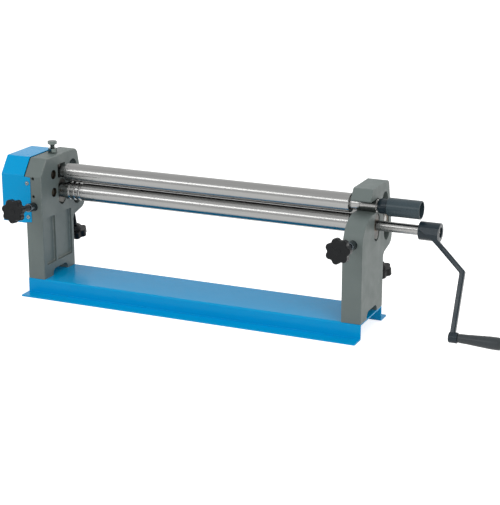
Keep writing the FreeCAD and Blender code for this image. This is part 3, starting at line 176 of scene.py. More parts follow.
class Shape:
    """A mesh in the making, in millimetres."""

    def __init__(self) -> None:
        """Start with nothing."""
        self.bm = bmesh.new()
        self.mask = self.bm.verts.layers.float.new(EDGE_MASK)

    # making

    @classmethod
    def prism(cls, outline: Sequence[Point], start: float, end: float) -> "Shape":
        """Outline drawn in (Y, Z) and raised along X.

        Args:
            outline: Closed outline.
            start: X of the outline's plane.
            end: X of the far face.

        Returns:
            The closed prism.
        """
        shape = cls()
        face = shape.bm.faces.new([shape.bm.verts.new((start, a, b)) for a, b in outline])
        raised = bmesh.ops.extrude_face_region(shape.bm, geom=[face])["geom"]
        moved = [item for item in raised if isinstance(item, bmesh.types.BMVert)]
        bmesh.ops.translate(shape.bm, verts=moved, vec=(end - start, 0, 0))
        return shape.welded()

    @classmethod
    def turned(cls, profile: Sequence[Point], steps: int = ROUND_STEPS) -> "Shape":
        """Profile spun about X.

        Args:
            profile: Points of distance along X and radius.
            steps: Faces round the shape.

        Returns:
            The closed shape.
        """
        shape = cls()
        verts = [shape.bm.verts.new((x, 0, radius)) for x, radius in profile]
        edges = [shape.bm.edges.new(pair) for pair in zip(verts, verts[1:])]
        bmesh.ops.spin(shape.bm, geom=verts + edges, cent=(0, 0, 0), axis=(1, 0, 0), dvec=(0, 0, 0),
                       angle=2 * math.pi, steps=steps, use_merge=True, use_duplicate=False)
        return shape.welded()

    @classmethod
    def bar(cls, start: float, end: float, radius: float, broken: float = 0.0, steps: int = 48) -> "Shape":
        """Closed round bar along X.

        Args:
            start: X of one end.
            end: X of the other end.
            radius: Its radius.
            broken: Width of the bevels at its rims.
            steps: Faces round it.

        Returns:
            The closed bar.
        """
        rim = [(start, radius), (end, radius)]
        if broken:
            rim = [(start, radius - broken), (start + broken, radius), (end - broken, radius),
                   (end, radius - broken)]
        return cls.turned([(start, 0), *rim, (end, 0)], steps)

    @classmethod
    def countersunk(cls, start: float, end: float, radius: float, sink: float, steps: int = 48) -> "Shape":
        """Cutter for a bore along X whose end is countersunk.

        Args:
            start: X at which the cutter starts, before the first face.
            end: X of the countersunk face.
            radius: Radius of the bore.
            sink: Depth of the countersink.
            steps: Faces round the bore.

        Returns:
            The closed cutter, which runs past the countersunk face.
        """
        past = 0.5
        mouth = radius + sink + past
        return cls.turned([(start, 0), (start, radius), (end - sink, radius), (end + past, mouth),
                           (end + past, 0)], steps)

    @classmethod
    def tube(cls, start: float, end: float, outer: float, bore: float, lip: float = 0.5) -> "Shape":
        """Plain tube along X.

        Args:
            start: X of one end.
            end: X of the other end.
            outer: Outer radius.
            bore: Inner radius.
            lip: Width of the bevels at its rims.

        Returns:
            The closed tube.
        """
        profile = [(start, bore + lip), (start, outer - lip), (start + lip, outer), (end - lip, outer),
                   (end, outer - lip), (end, bore + lip), (end - lip, bore), (start + lip, bore),
                   (start, bore + lip)]
        return cls.turned(profile)

    @classmethod
    def thread(cls, start: float, end: float, radius: float, pitch: float, steps: int = 24) -> "Shape":
        """Right-hand screw thread along X: its flank line spun once round while it moves one pitch.

        Args:
            start: X at which the flank line starts.
            end: X that the thread reaches at most.
            radius: Radius of the crests.
            pitch: Distance from crest to crest.
            steps: Faces round the thread.

        Returns:
            The closed thread.
        """
        shape = cls()
        rise, crest, fall, depth = (share * pitch for share in THREAD_SHARES)
        root = radius - depth
        profile = []
        for turn in range(max(1, round((end - start) / pitch) - 1)):
            x = start + turn * pitch
            profile += [(x, root), (x + rise, radius), (x + crest, radius), (x + fall, root)]
        profile.append((profile[-1][0] + pitch - fall, root))
        verts = [shape.bm.verts.new((x, 0, size)) for x, size in profile]
        edges = [shape.bm.edges.new(pair) for pair in zip(verts, verts[1:])]
        bmesh.ops.spin(shape.bm, geom=verts + edges, cent=(0, 0, 0), axis=(1, 0, 0),
                       dvec=(pitch / steps, 0, 0), angle=2 * math.pi, steps=steps, use_merge=False)
        bmesh.ops.remove_doubles(shape.bm, verts=shape.bm.verts, dist=NEAR)
        return shape.capped()

    @classmethod
    def hexagon(cls, flats: float, start: float, end: float, both: bool = False) -> "Shape":
        """Hexagon along X with its corners turned off.

        Args:
            flats: Distance across the flats.
            start: X of one face.
            end: X of the other face, whose corners are turned off.
            both: Whether the corners at the start are turned off too.

        Returns:
            The closed hexagon.
        """
        past, inset, edge = 1.0, 0.3, 0.25
        corner = flats / 2 / math.cos(math.pi / 6)
        face, outer = flats / 2 - inset, corner + past
        shape = cls.prism(circle(corner, steps=6), start - past, end + past)
        drop = (outer - face) * math.tan(math.pi / 6)
        near = [(start, face), (start + drop, outer)] if both else [(start, outer)]
        lathe = cls.turned([(start, 0), *near, (end - drop, outer), (end, face), (end, 0)])
        return shape.boolean(lathe, "INTERSECT").soften(edge, angle=20)

    # changing

    def welded(self) -> "Shape":
        """Merge doubles and turn every face outwards.

        Returns:
            The same shape.
        """
        bmesh.ops.remove_doubles(self.bm, verts=self.bm.verts, dist=WELD)
        bmesh.ops.recalc_face_normals(self.bm, faces=self.bm.faces)
        return self

    def capped(self) -> "Shape":
        """Close open rims.

        Returns:
            The same shape.
        """
        rims = [edge for edge in self.bm.edges if len(edge.link_faces) == 1]
        bmesh.ops.holes_fill(self.bm, edges=rims, sides=0)
        return self.welded()

    def moved(self, matrix: Matrix) -> "Shape":
        """Apply a place to the mesh."""
        bmesh.ops.transform(self.bm, matrix=matrix, verts=self.bm.verts)
        return self

    def sharp(self, angle: float) -> list[bmesh.types.BMEdge]:
        """Edges that turn by more than an angle.

        Args:
            angle: The angle in degrees.

        Returns:
            The edges between two faces that turn by more.
        """
        limit = math.radians(angle)
        return [edge for edge in self.bm.edges
                if len(edge.link_faces) == 2 and edge.calc_face_angle(0.0) > limit]

    def soften(self, width: float, segments: int = 2, angle: float = 35.0,
               pick: Callable[[bmesh.types.BMEdge], bool] | None = None) -> "Shape":
        """Round sharp edges and mark the roundings, which finishes make lighter as edge rubbing and painted
        highlight.

        Args:
            width: Distance from the edge at which the rounding starts.
            segments: Faces across a rounding.
            angle: Edges that turn by less stay as they are, in degrees.
            pick: Test that narrows the choice of edges.

        Returns:
            The same shape.
        """
        edges = [edge for edge in self.sharp(angle) if pick is None or pick(edge)]
        made = bmesh.ops.bevel(self.bm, geom=edges, offset=width, offset_type="OFFSET", segments=segments,
                               profile=0.5, affect="EDGES", clamp_overlap=True, material=-1)
        faces = set(made["faces"])
        for vert in made["verts"]:
            if all(face in faces for face in vert.link_faces):
                vert[self.mask] = 1.0
        return self

    def joined(self, *others: "Shape") -> "Shape":
        """Add other shapes to this one as they are.

        Args:
            others: The shapes to add.

        Returns:
            The same shape.
        """
        for other in others:
            mesh = other.mesh("joining")
            self.bm.from_mesh(mesh)
            bpy.data.meshes.remove(mesh)
        return self

    def boolean(self, other: "Shape", operation: str) -> "Shape":
        """Unite with, cut by or keep inside another shape.

        Args:
            other: The second shape; it is used up.
            operation: UNION, DIFFERENCE or INTERSECT.

        Returns:
            The same shape.
        """
        pair = [bpy.data.objects.new("worked", item.mesh("worked")) for item in (self, other)]
        for item in pair:
            bpy.context.scene.collection.objects.link(item)
        modifier = pair[0].modifiers.new("cut", "BOOLEAN")
        modifier.operation = operation
        modifier.solver = "EXACT"
        modifier.object = pair[1]
        bpy.context.view_layer.update()
        depsgraph = bpy.context.evaluated_depsgraph_get()
        result = bpy.data.meshes.new_from_object(pair[0].evaluated_get(depsgraph))
        self.bm.clear()
        self.bm.from_mesh(result)
        self.mask = self.bm.verts.layers.float.get(EDGE_MASK) or self.bm.verts.layers.float.new(EDGE_MASK)
        bpy.data.meshes.remove(result)
        for item in pair:
            data = item.data
            bpy.data.objects.remove(item)
            bpy.data.meshes.remove(data)
        bmesh.ops.remove_doubles(self.bm, verts=self.bm.verts, dist=WELD)
        bmesh.ops.dissolve_degenerate(self.bm, dist=WELD, edges=self.bm.edges)
        return self

    def cut(self, *others: "Shape") -> "Shape":
        """Cut other shapes away, one after another.

        Args:
            others: The shapes to cut away; they are used up.

        Returns:
            The same shape.
        """
        for other in others:
            self.boolean(other, "DIFFERENCE")
        return self

    def united(self, *others: "Shape") -> "Shape":
        """Fuse other shapes with this one.

        Args:
            others: The shapes to fuse; they are used up.

        Returns:
            The same shape.
        """
        for other in others:
            self.boolean(other, "UNION")
        return self

    def copy(self) -> "Shape":
        """An independent copy."""
        return Shape().joined(self)

    # finishing

    def mesh(self, name: str) -> bpy.types.Mesh:
        """The shape as mesh data.

        Args:
            name: Name of the mesh.

        Returns:
            The new mesh.
        """
        data = bpy.data.meshes.new(name)
        self.bm.to_mesh(data)
        return data

    def piece(self, name: str, body: str, finish: "Finish", *nodes: str, crease: float = 32.0) -> None:
        """Turn the shape into a finished piece of the machine.

        Args:
            name: Name of the piece.
            body: Frame body that it moves with.
            finish: Its surface.
            nodes: Frame nodes that it stands for.
            crease: Edges that turn by more stay sharp, in degrees.
        """
        bmesh.ops.scale(self.bm, vec=(MM, MM, MM), verts=self.bm.verts)
        open_edges = sum(len(edge.link_faces) != 2 for edge in self.bm.edges)
        data = self.mesh(name)
        data.shade_smooth()
        data.set_sharp_from_angle(angle=math.radians(crease))
        data.materials.append(finish.material)
        piece = bpy.data.objects.new(name, data)
        bpy.context.scene.collection.objects.link(piece)
        weighted = piece.modifiers.new("shading", "WEIGHTED_NORMAL")
        weighted.keep_sharp = True
        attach(piece, body)
        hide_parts(*nodes)
        LOG.info("%s: %d faces, %d open edges", name, len(data.polygons), open_edges)


def placed(origin: Sequence[float], direction: Sequence[float], roll: float = 0.0) -> Matrix:
    """Place that lays local +X along a direction.

    Args:
        origin: Where local zero goes.
        direction: Where local +X points.
        roll: Turn about the shape's own X, in degrees.

    Returns:
        The place as a matrix.
    """
    turn = Vector(direction).to_track_quat("X", "Z").to_matrix().to_4x4()
    return Matrix.Translation(Vector(origin)) @ turn @ Matrix.Rotation(math.radians(roll), 4, "X")


# ------------------------------------------------------------------ shader node kit


class Nodes:
    """Adds nodes to a material or node group."""

    def __init__(self, tree: bpy.types.NodeTree) -> None:
        """Work on a node tree."""
        self.tree = tree

    def add(self, kind: str, inputs: dict | None = None, **settings: object) -> bpy.types.Node:
        """Add a node.

        Args:
            kind: Shader node type without its ShaderNode prefix.
            inputs: Sockets by name or number, each with a value or a socket to link.
            settings: Properties of the node.

        Returns:
            The new node.
        """
        node = self.tree.nodes.new(kind if kind.startswith("NodeGroup") else "ShaderNode" + kind)
        for name, value in settings.items():
            setattr(node, name, value)
        for name, value in (inputs or {}).items():
            if isinstance(value, bpy.types.NodeSocket):
                self.tree.links.new(value, node.inputs[name])
            else:
                node.inputs[name].default_value = value
        return node

    def effect(self, group: bpy.types.NodeTree, **inputs: object) -> bpy.types.Node:
        """Add a shared effect.

        Args:
            group: The effect's node group.
            inputs: Its inputs; underscores in their names stand for spaces.

        Returns:
            The new group node.
        """
        node = self.add("Group", node_tree=group)
        for name, value in inputs.items():
            socket = node.inputs[name.replace("_", " ")]
            if isinstance(value, bpy.types.NodeSocket):
                self.tree.links.new(value, socket)
            else:
                socket.default_value = value
        return node

    def noise(self, vector: bpy.types.NodeSocket, scale: object, detail: float = 3.0,
              roughness: float = 0.5) -> bpy.types.NodeSocket:
        """Noise value between 0 and 1.

        Args:
            vector: Where the noise is read.
            scale: Its scale, as a number or a socket.
            detail: Octaves.
            roughness: Share of the finer octaves.

        Returns:
            The noise value's socket.
        """
        made = self.add("TexNoise", {"Vector": vector, "Detail": detail, "Roughness": roughness})
        if isinstance(scale, bpy.types.NodeSocket):
            self.tree.links.new(scale, made.inputs["Scale"])
        else:
            made.inputs["Scale"].default_value = scale
        return made.outputs["Fac"]

    def ramp(self, value: bpy.types.NodeSocket, low: object, high: object, start: object = 0.0,
             end: object = 1.0) -> bpy.types.NodeSocket:
        """Map low..high of a value to start..end, held at both ends."""
        sockets = {"Value": value, "From Min": low, "From Max": high, "To Min": start, "To Max": end}
        return self.add("MapRange", sockets).outputs["Result"]


class Effects:
    """Shader node groups that several finishes share, each built once."""

    def _start(self, name: str, taken: dict[str, tuple[str, object]], given: tuple[str, str]) -> tuple:
        """Open a group.

        Args:
            name: Name of the group.
            taken: Input sockets with their types and first values.
            given: The output socket's name and type.

        Returns:
            The group, its node kit, the input node and the output node.
        """
        group = bpy.data.node_groups.new(name, "ShaderNodeTree")
        for label, (kind, first) in taken.items():
            socket = group.interface.new_socket(name=label, in_out="INPUT", socket_type="NodeSocket" + kind)
            if first is not None:
                socket.default_value = first
        group.interface.new_socket(name=given[0], in_out="OUTPUT", socket_type="NodeSocket" + given[1])
        kit = Nodes(group)
        return group, kit, kit.add("NodeGroupInput").outputs, kit.add("NodeGroupOutput")

    @cached_property
    def mottle(self) -> bpy.types.NodeTree:
        """Colour that wanders a little lighter and darker over a surface.

        Returns:
            The node group.
        """
        taken = {"Vector": ("Vector", None), "Base": ("Color", None), "Scale": ("Float", 30.0),
                 "Spread": ("Float", 0.05)}
        group, kit, given, end = self._start("mottle", taken, ("Color", "Color"))
        broad = kit.noise(given["Vector"], given["Scale"], 4.0, 0.6)
        low = kit.add("Math", {0: 1.0, 1: given["Spread"]}, operation="SUBTRACT").outputs[0]
        high = kit.add("Math", {0: 1.0, 1: given["Spread"]}, operation="ADD").outputs[0]
        shade = kit.ramp(broad, 0.3, 0.7, low, high)
        tinted = kit.add("VectorMath", {0: given["Base"], "Scale": shade}, operation="SCALE")
        group.links.new(tinted.outputs[0], end.inputs["Color"])
        return group

    @cached_property
    def grain(self) -> bpy.types.NodeTree:
        """Fine and coarse unevenness of a skin, as a normal.

        Returns:
            The node group.
        """
        taken = {"Vector": ("Vector", None), "Fine Scale": ("Float", 900.0),
                 "Fine Height": ("Float", 0.00002), "Coarse Scale": ("Float", 120.0),
                 "Coarse Height": ("Float", 0.0001)}
        group, kit, given, end = self._start("grain", taken, ("Normal", "Vector"))
        coarse = kit.noise(given["Vector"], given["Coarse Scale"], 2.0)
        fine = kit.noise(given["Vector"], given["Fine Scale"], 2.0)
        first = kit.add("Bump", {"Height": coarse, "Distance": given["Coarse Height"]})
        second = kit.add("Bump", {"Height": fine, "Distance": given["Fine Height"],
                                  "Normal": first.outputs["Normal"]})
        group.links.new(second.outputs["Normal"], end.inputs["Normal"])
        return group

    @cached_property
    def rings(self) -> bpy.types.NodeTree:
        """Fine marks round the X axis that turning and grinding leave, as a normal.

        Returns:
            The node group.
        """
        taken = {"Vector": ("Vector", None), "Pitch": ("Float", 4000.0), "Height": ("Float", 0.000004)}
        group, kit, given, end = self._start("rings", taken, ("Normal", "Vector"))
        across = kit.add("SeparateXYZ", {0: given["Vector"]}).outputs["X"]
        marks = kit.add("TexNoise", {"W": across, "Scale": given["Pitch"], "Detail": 3.0},
                        noise_dimensions="1D").outputs["Fac"]
        bump = kit.add("Bump", {"Height": marks, "Distance": given["Height"]})
        group.links.new(bump.outputs["Normal"], end.inputs["Normal"])
        return group

    @cached_property
    def smudge(self) -> bpy.types.NodeTree:
        """Roughness that wanders between two values, as handling and oil leave it.

        Returns:
            The node group.
        """
        taken = {"Vector": ("Vector", None), "Scale": ("Float", 25.0), "Low": ("Float", 0.3),
                 "High": ("Float", 0.4)}
        group, kit, given, end = self._start("smudge", taken, ("Roughness", "Float"))
        cloud = kit.noise(given["Vector"], given["Scale"], 5.0, 0.65)
        group.links.new(kit.ramp(cloud, 0.35, 0.65, given["Low"], given["High"]), end.inputs["Roughness"])
        return group

    @cached_property
    def edge_wear_and_highlight(self) -> bpy.types.NodeTree:
        """Mask of the lighter patches along rounded edges: the finish rubbing thin there, and a painted
        highlight along the edges.

        Returns:
            The node group.
        """
        taken = {"Vector": ("Vector", None), "Edge": ("Float", 0.0), "Amount": ("Float", 0.5)}
        group, kit, given, end = self._start("edge_wear_and_highlight", taken, ("Mask", "Float"))
        # Patchy lightening on the marked roundings, partly rubbing and partly painted highlight.
        patches = kit.ramp(kit.noise(given["Vector"], 90.0, 5.0, 0.7), 0.42, 0.62)
        worn_and_lit_mask = kit.add("Math", {0: patches, 1: given["Edge"]}, operation="MULTIPLY").outputs[0]
        share = kit.add("Math", {0: worn_and_lit_mask, 1: given["Amount"]}, operation="MULTIPLY").outputs[0]
        group.links.new(share, end.inputs["Mask"])
        return group


EFFECTS = Effects()


# ------------------------------------------------------------------ finishes


@dataclass(frozen=True)
class Finish:
    """A surface, named after the material slot that it belongs to."""

    slot: str
    colour: Colour
    variant: str = ""

    @cached_property
    def material(self) -> bpy.types.Material:
        """The finish as a material, made at its first use.

        Returns:
            The material.
        """
        material = bpy.data.materials.new(self.slot + self.variant)
        material.use_nodes = True
        material.diffuse_color = (*self.colour, 1.0)
        material.node_tree.nodes.clear()
        kit = Nodes(material.node_tree)
        where = kit.add("TexCoord").outputs["Object"]
        shader = kit.add("BsdfPrincipled")
        end = kit.add("OutputMaterial")
        material.node_tree.links.new(shader.outputs["BSDF"], end.inputs["Surface"])
        for name, value in self.surface(kit, where).items():
            if isinstance(value, bpy.types.NodeSocket):
                material.node_tree.links.new(value, shader.inputs[name])
            else:
                shader.inputs[name].default_value = value
        return material

    def surface(self, kit: Nodes, where: bpy.types.NodeSocket) -> dict[str, object]:
        """Shader inputs of the finish.

        Args:
            kit: Node kit of the finish's material.
            where: Object coordinates.

        Returns:
            Values or sockets for the shader, by input name.
        """
        raise NotImplementedError

    def dress(self, *nodes: str) -> None:
        """Put the finish on frame nodes that stay in view as they are.

        Args:
            nodes: Names of the nodes.
        """
        for node in nodes:
            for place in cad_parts[node].material_slots:
                place.material = self.material


@dataclass(frozen=True)
class Enamel(Finish):
    """Sprayed enamel over a folded or cast skin."""

    roughness: tuple[float, float] = (0.3, 0.4)
    spread: float = 0.03
    cloud: float = 18.0
    peel: float = 0.00002
    skin: float = 0.00005
    skin_scale: float = 60.0
    # Lighter colour and share on the rounded edges: rubbing through the enamel, plus a painted highlight.
    edge_wear_highlight_colour: Colour = (0.3, 0.3, 0.3)
    edge_wear_highlight_share: float = 0.35
    index: float = 1.45

    def surface(self, kit: Nodes, where: bpy.types.NodeSocket) -> dict[str, object]:
        """Wandering colour, orange peel over the skin, and edges lighter from rubbing and from a painted
        highlight.

        Args:
            kit: Node kit of the finish's material.
            where: Object coordinates.

        Returns:
            Values or sockets for the shader, by input name.
        """
        edge = kit.add("Attribute", attribute_name=EDGE_MASK).outputs["Fac"]
        colour = kit.effect(EFFECTS.mottle, Vector=where, Base=(*self.colour, 1.0), Scale=self.cloud,
                            Spread=self.spread).outputs["Color"]
        # Edge lightening: rubbing through the enamel and a painted highlight along the roundings.
        worn_and_lit_mask = kit.effect(EFFECTS.edge_wear_and_highlight, Vector=where, Edge=edge, Amount=self.edge_wear_highlight_share).outputs["Mask"]
        mixed = kit.add("Mix", {"Factor": worn_and_lit_mask, "A": colour, "B": (*self.edge_wear_highlight_colour, 1.0)}, data_type="RGBA")
        low, high = self.roughness
        return {
            "Base Color": mixed.outputs["Result"],
            "Roughness": kit.effect(EFFECTS.smudge, Vector=where, Scale=30.0, Low=low,
                                    High=high).outputs["Roughness"],
            "Normal": kit.effect(EFFECTS.grain, Vector=where, Fine_Scale=700.0, Fine_Height=self.peel,
                                 Coarse_Scale=self.skin_scale, Coarse_Height=self.skin).outputs["Normal"],
            "IOR": self.index,
        }


@dataclass(frozen=True)
class Metal(Finish):
    """Bare metal, turned or ground round an axis."""

    roughness: tuple[float, float] = (0.22, 0.3)
    spread: float = 0.04
    cloud: float = 12.0
    pitch: float = 3500.0
    marks: float = 0.000004
    # Below 1, the colour mottle runs out along the axis into streaks of painted reflection.
    stretch: float = 1.0
    axis: tuple[float, float, float] = (1.0, 0.0, 0.0)

    def surface(self, kit: Nodes, where: bpy.types.NodeSocket) -> dict[str, object]:
        """Turning marks round the axis, colour streaks along it where stretch is small, which are painted
        reflection bands, and a thin wandering film of oil.

        Args:
            kit: Node kit of the finish's material.
            where: Object coordinates.

        Returns:
            Values or sockets for the shader, by input name.
        """
        turn = Vector(self.axis).rotation_difference(Vector((1, 0, 0))).to_euler()
        laid = kit.add("Mapping", {"Vector": where, "Rotation": tuple(turn)}).outputs["Vector"]
        # Mottle read stretched along the axis: painted reflection streaks on the rolls.
        mottle_and_reflection_streak_coords = kit.add("Mapping", {"Vector": laid, "Scale": (self.stretch, 1.0, 1.0)}).outputs["Vector"]
        low, high = self.roughness
        return {
            "Base Color": kit.effect(EFFECTS.mottle, Vector=mottle_and_reflection_streak_coords, Base=(*self.colour, 1.0),
                                     Scale=self.cloud, Spread=self.spread).outputs["Color"],
            "Metallic": 1.0,
            "Roughness": kit.effect(EFFECTS.smudge, Vector=laid, Scale=45.0, Low=low,
                                    High=high).outputs["Roughness"],
            "Normal": kit.effect(EFFECTS.rings, Vector=laid, Pitch=self.pitch,
                                 Height=self.marks).outputs["Normal"],
        }


@dataclass(frozen=True)
class Plastic(Finish):
    """Moulded plastic with a fine spark-eroded grain."""

    roughness: tuple[float, float] = (0.35, 0.5)
    index: float = 1.45

    def surface(self, kit: Nodes, where: bpy.types.NodeSocket) -> dict[str, object]:
        """Near even colour over a fine grain, polished a little by hands.

        Args:
            kit: Node kit of the finish's material.
            where: Object coordinates.

        Returns:
            Values or sockets for the shader, by input name.
        """
        low, high = self.roughness
        return {
            "Base Color": kit.effect(EFFECTS.mottle, Vector=where, Base=(*self.colour, 1.0), Scale=60.0,
                                     Spread=0.12).outputs["Color"],
            "Roughness": kit.effect(EFFECTS.smudge, Vector=where, Scale=60.0, Low=low,
                                    High=high).outputs["Roughness"],
            "Normal": kit.effect(EFFECTS.grain, Vector=where, Fine_Scale=1600.0, Fine_Height=0.00003,
                                 Coarse_Scale=180.0, Coarse_Height=0.00005).outputs["Normal"],
            "IOR": self.index,
        }


FRONT_SCREW_AXIS = (0.0, math.cos(SCREW_TILT), -math.sin(SCREW_TILT))
REAR_SCREW_AXIS = (0.0, -math.sin(SLOT_TILT), math.cos(SLOT_TILT))
UPRIGHT = (0.0, 0.0, 1.0)

# The lighter edge colours below stand for rubbing and for a painted highlight along the edges.
CAST_GREY = Enamel("frame_enamel", (0.129, 0.157, 0.152), roughness=(0.42, 0.55), spread=0.05, cloud=14.0,
                   peel=0.00004, skin=0.00018, skin_scale=45.0, edge_wear_highlight_colour=(0.30, 0.31, 0.30), edge_wear_highlight_share=0.4)
BASE_BLUE = Enamel("blue_enamel", (0.0, 0.335, 0.685), roughness=(0.18, 0.26), spread=0.02, cloud=6.0,
                   peel=0.000012, skin=0.00008, skin_scale=22.0, edge_wear_highlight_colour=(0.10, 0.42, 0.68), edge_wear_highlight_share=0.3,
                   index=1.2)
CRANK_GREY = Enamel("dark_enamel", (0.014, 0.025, 0.034), roughness=(0.18, 0.28), spread=0.12, cloud=40.0,
                    peel=0.00002, skin=0.00012, skin_scale=90.0, edge_wear_highlight_colour=(0.16, 0.18, 0.20), edge_wear_highlight_share=0.5,
                    index=1.33)
TUBE_GREY = Enamel("dark_enamel", (0.036, 0.056, 0.068), "_tube", roughness=(0.24, 0.34), spread=0.08,
                   cloud=40.0, peel=0.00002, skin=0.00006, skin_scale=90.0, edge_wear_highlight_colour=(0.20, 0.23, 0.25), edge_wear_highlight_share=0.5,
                   index=1.36)
# Base colour about half that of ground steel: painted shade standing in for darker surroundings in the rolls'
# reflections. Its stretched mottle paints reflection streaks along the rolls.
GROUND_STEEL = Metal("ground_steel", (0.30, 0.30, 0.295), roughness=(0.19, 0.21), spread=0.07, cloud=220.0,
                     stretch=0.02, marks=0.00008)
MACHINED_STEEL = Metal("machined_steel", (0.095, 0.092, 0.086), roughness=(0.38, 0.52), spread=0.15,
                       cloud=50.0, pitch=1800.0, marks=0.000006)
STUB_STEEL = Metal("machined_steel", (0.080, 0.066, 0.048), "_stub", roughness=(0.4, 0.55), spread=0.2,
                   cloud=70.0, pitch=1800.0, marks=0.000006)
SLEEVE_STEEL = Metal("machined_steel", (0.10, 0.12, 0.135), "_sleeve", roughness=(0.22, 0.32),
                     axis=FRONT_SCREW_AXIS)
GEAR_STEEL = Metal("gear_steel", (0.20, 0.20, 0.205), roughness=(0.35, 0.5))
ZINC = Metal("zinc_steel", (0.125, 0.150, 0.142), roughness=(0.14, 0.24), spread=0.2, cloud=90.0,
             axis=UPRIGHT)
ZINC_FACE = Metal("zinc_steel", (0.20, 0.25, 0.27), "_screws", roughness=(0.22, 0.34), axis=(0.0, 1.0, 0.0))
BLACKED = Metal("black_oxide", (0.040, 0.044, 0.048), roughness=(0.28, 0.42), axis=FRONT_SCREW_AXIS)
BLACKED_REAR = Metal("black_oxide", (0.040, 0.044, 0.048), "_rear", roughness=(0.28, 0.42),
                     axis=REAR_SCREW_AXIS)
BRONZE = Metal("bronze", (0.17, 0.135, 0.095), roughness=(0.36, 0.5))
KNOB_BLACK = Plastic("knob_plastic", (0.006, 0.007, 0.008), roughness=(0.26, 0.38), index=1.29)
GRIP_BLACK = Plastic("grip_plastic", (0.030, 0.037, 0.042), roughness=(0.3, 0.45), index=1.4)


# ------------------------------------------------------------------ base, frames and cover


@dataclass
class BaseChannel:
    """Folded hat channel that carries both frames and stands on its two flanges."""

    sheet: float = 3.0
    outer_bend: float = 3.5
    inner_bend: float = 0.5
    flange_corner: float = 3.0
    cut_edge: float = 0.45

    def build(self) -> None:
        """Fold the section, raise it along the rolls and break its cut edges."""
        box, frames = Box.of("base_channel"), Box.of("left_frame")
        front, rear, top = frames.low.y, box.high.y - (frames.low.y - box.low.y), box.high.z
        sheet, bend, tight = self.sheet, self.outer_bend, self.inner_bend
        section = [
            (box.low.y, 0, 0), (front + sheet, 0, bend), (front + sheet, top - sheet, tight),
            (rear - sheet, top - sheet, tight), (rear - sheet, 0, bend), (box.high.y, 0, 0),
            (box.high.y, sheet, 0), (rear, sheet, tight), (rear, top, bend), (front, top, bend),
            (front, sheet, tight), (box.low.y, sheet, 0),
        ]
        shape = Shape.prism(rounded(section), box.low.x, box.high.x)

        def plan_corner(edge: bmesh.types.BMEdge) -> bool:
            """Tell whether an edge stands at a flange's outer corner.

            Args:
                edge: An edge of the channel.

            Returns:
                True for an upright edge there.
            """
            middle = (edge.verts[0].co + edge.verts[1].co) / 2
            upright = abs(edge.verts[0].co.z - edge.verts[1].co.z) > sheet - NEAR
            outside = middle.y < box.low.y + NEAR or middle.y > box.high.y - NEAR
            return upright and middle.z < sheet and outside

        shape.soften(self.flange_corner, 5, pick=plan_corner)
        shape.soften(self.cut_edge, 2, angle=50)
        shape.piece("base", "stand", BASE_BLUE, "base_channel")


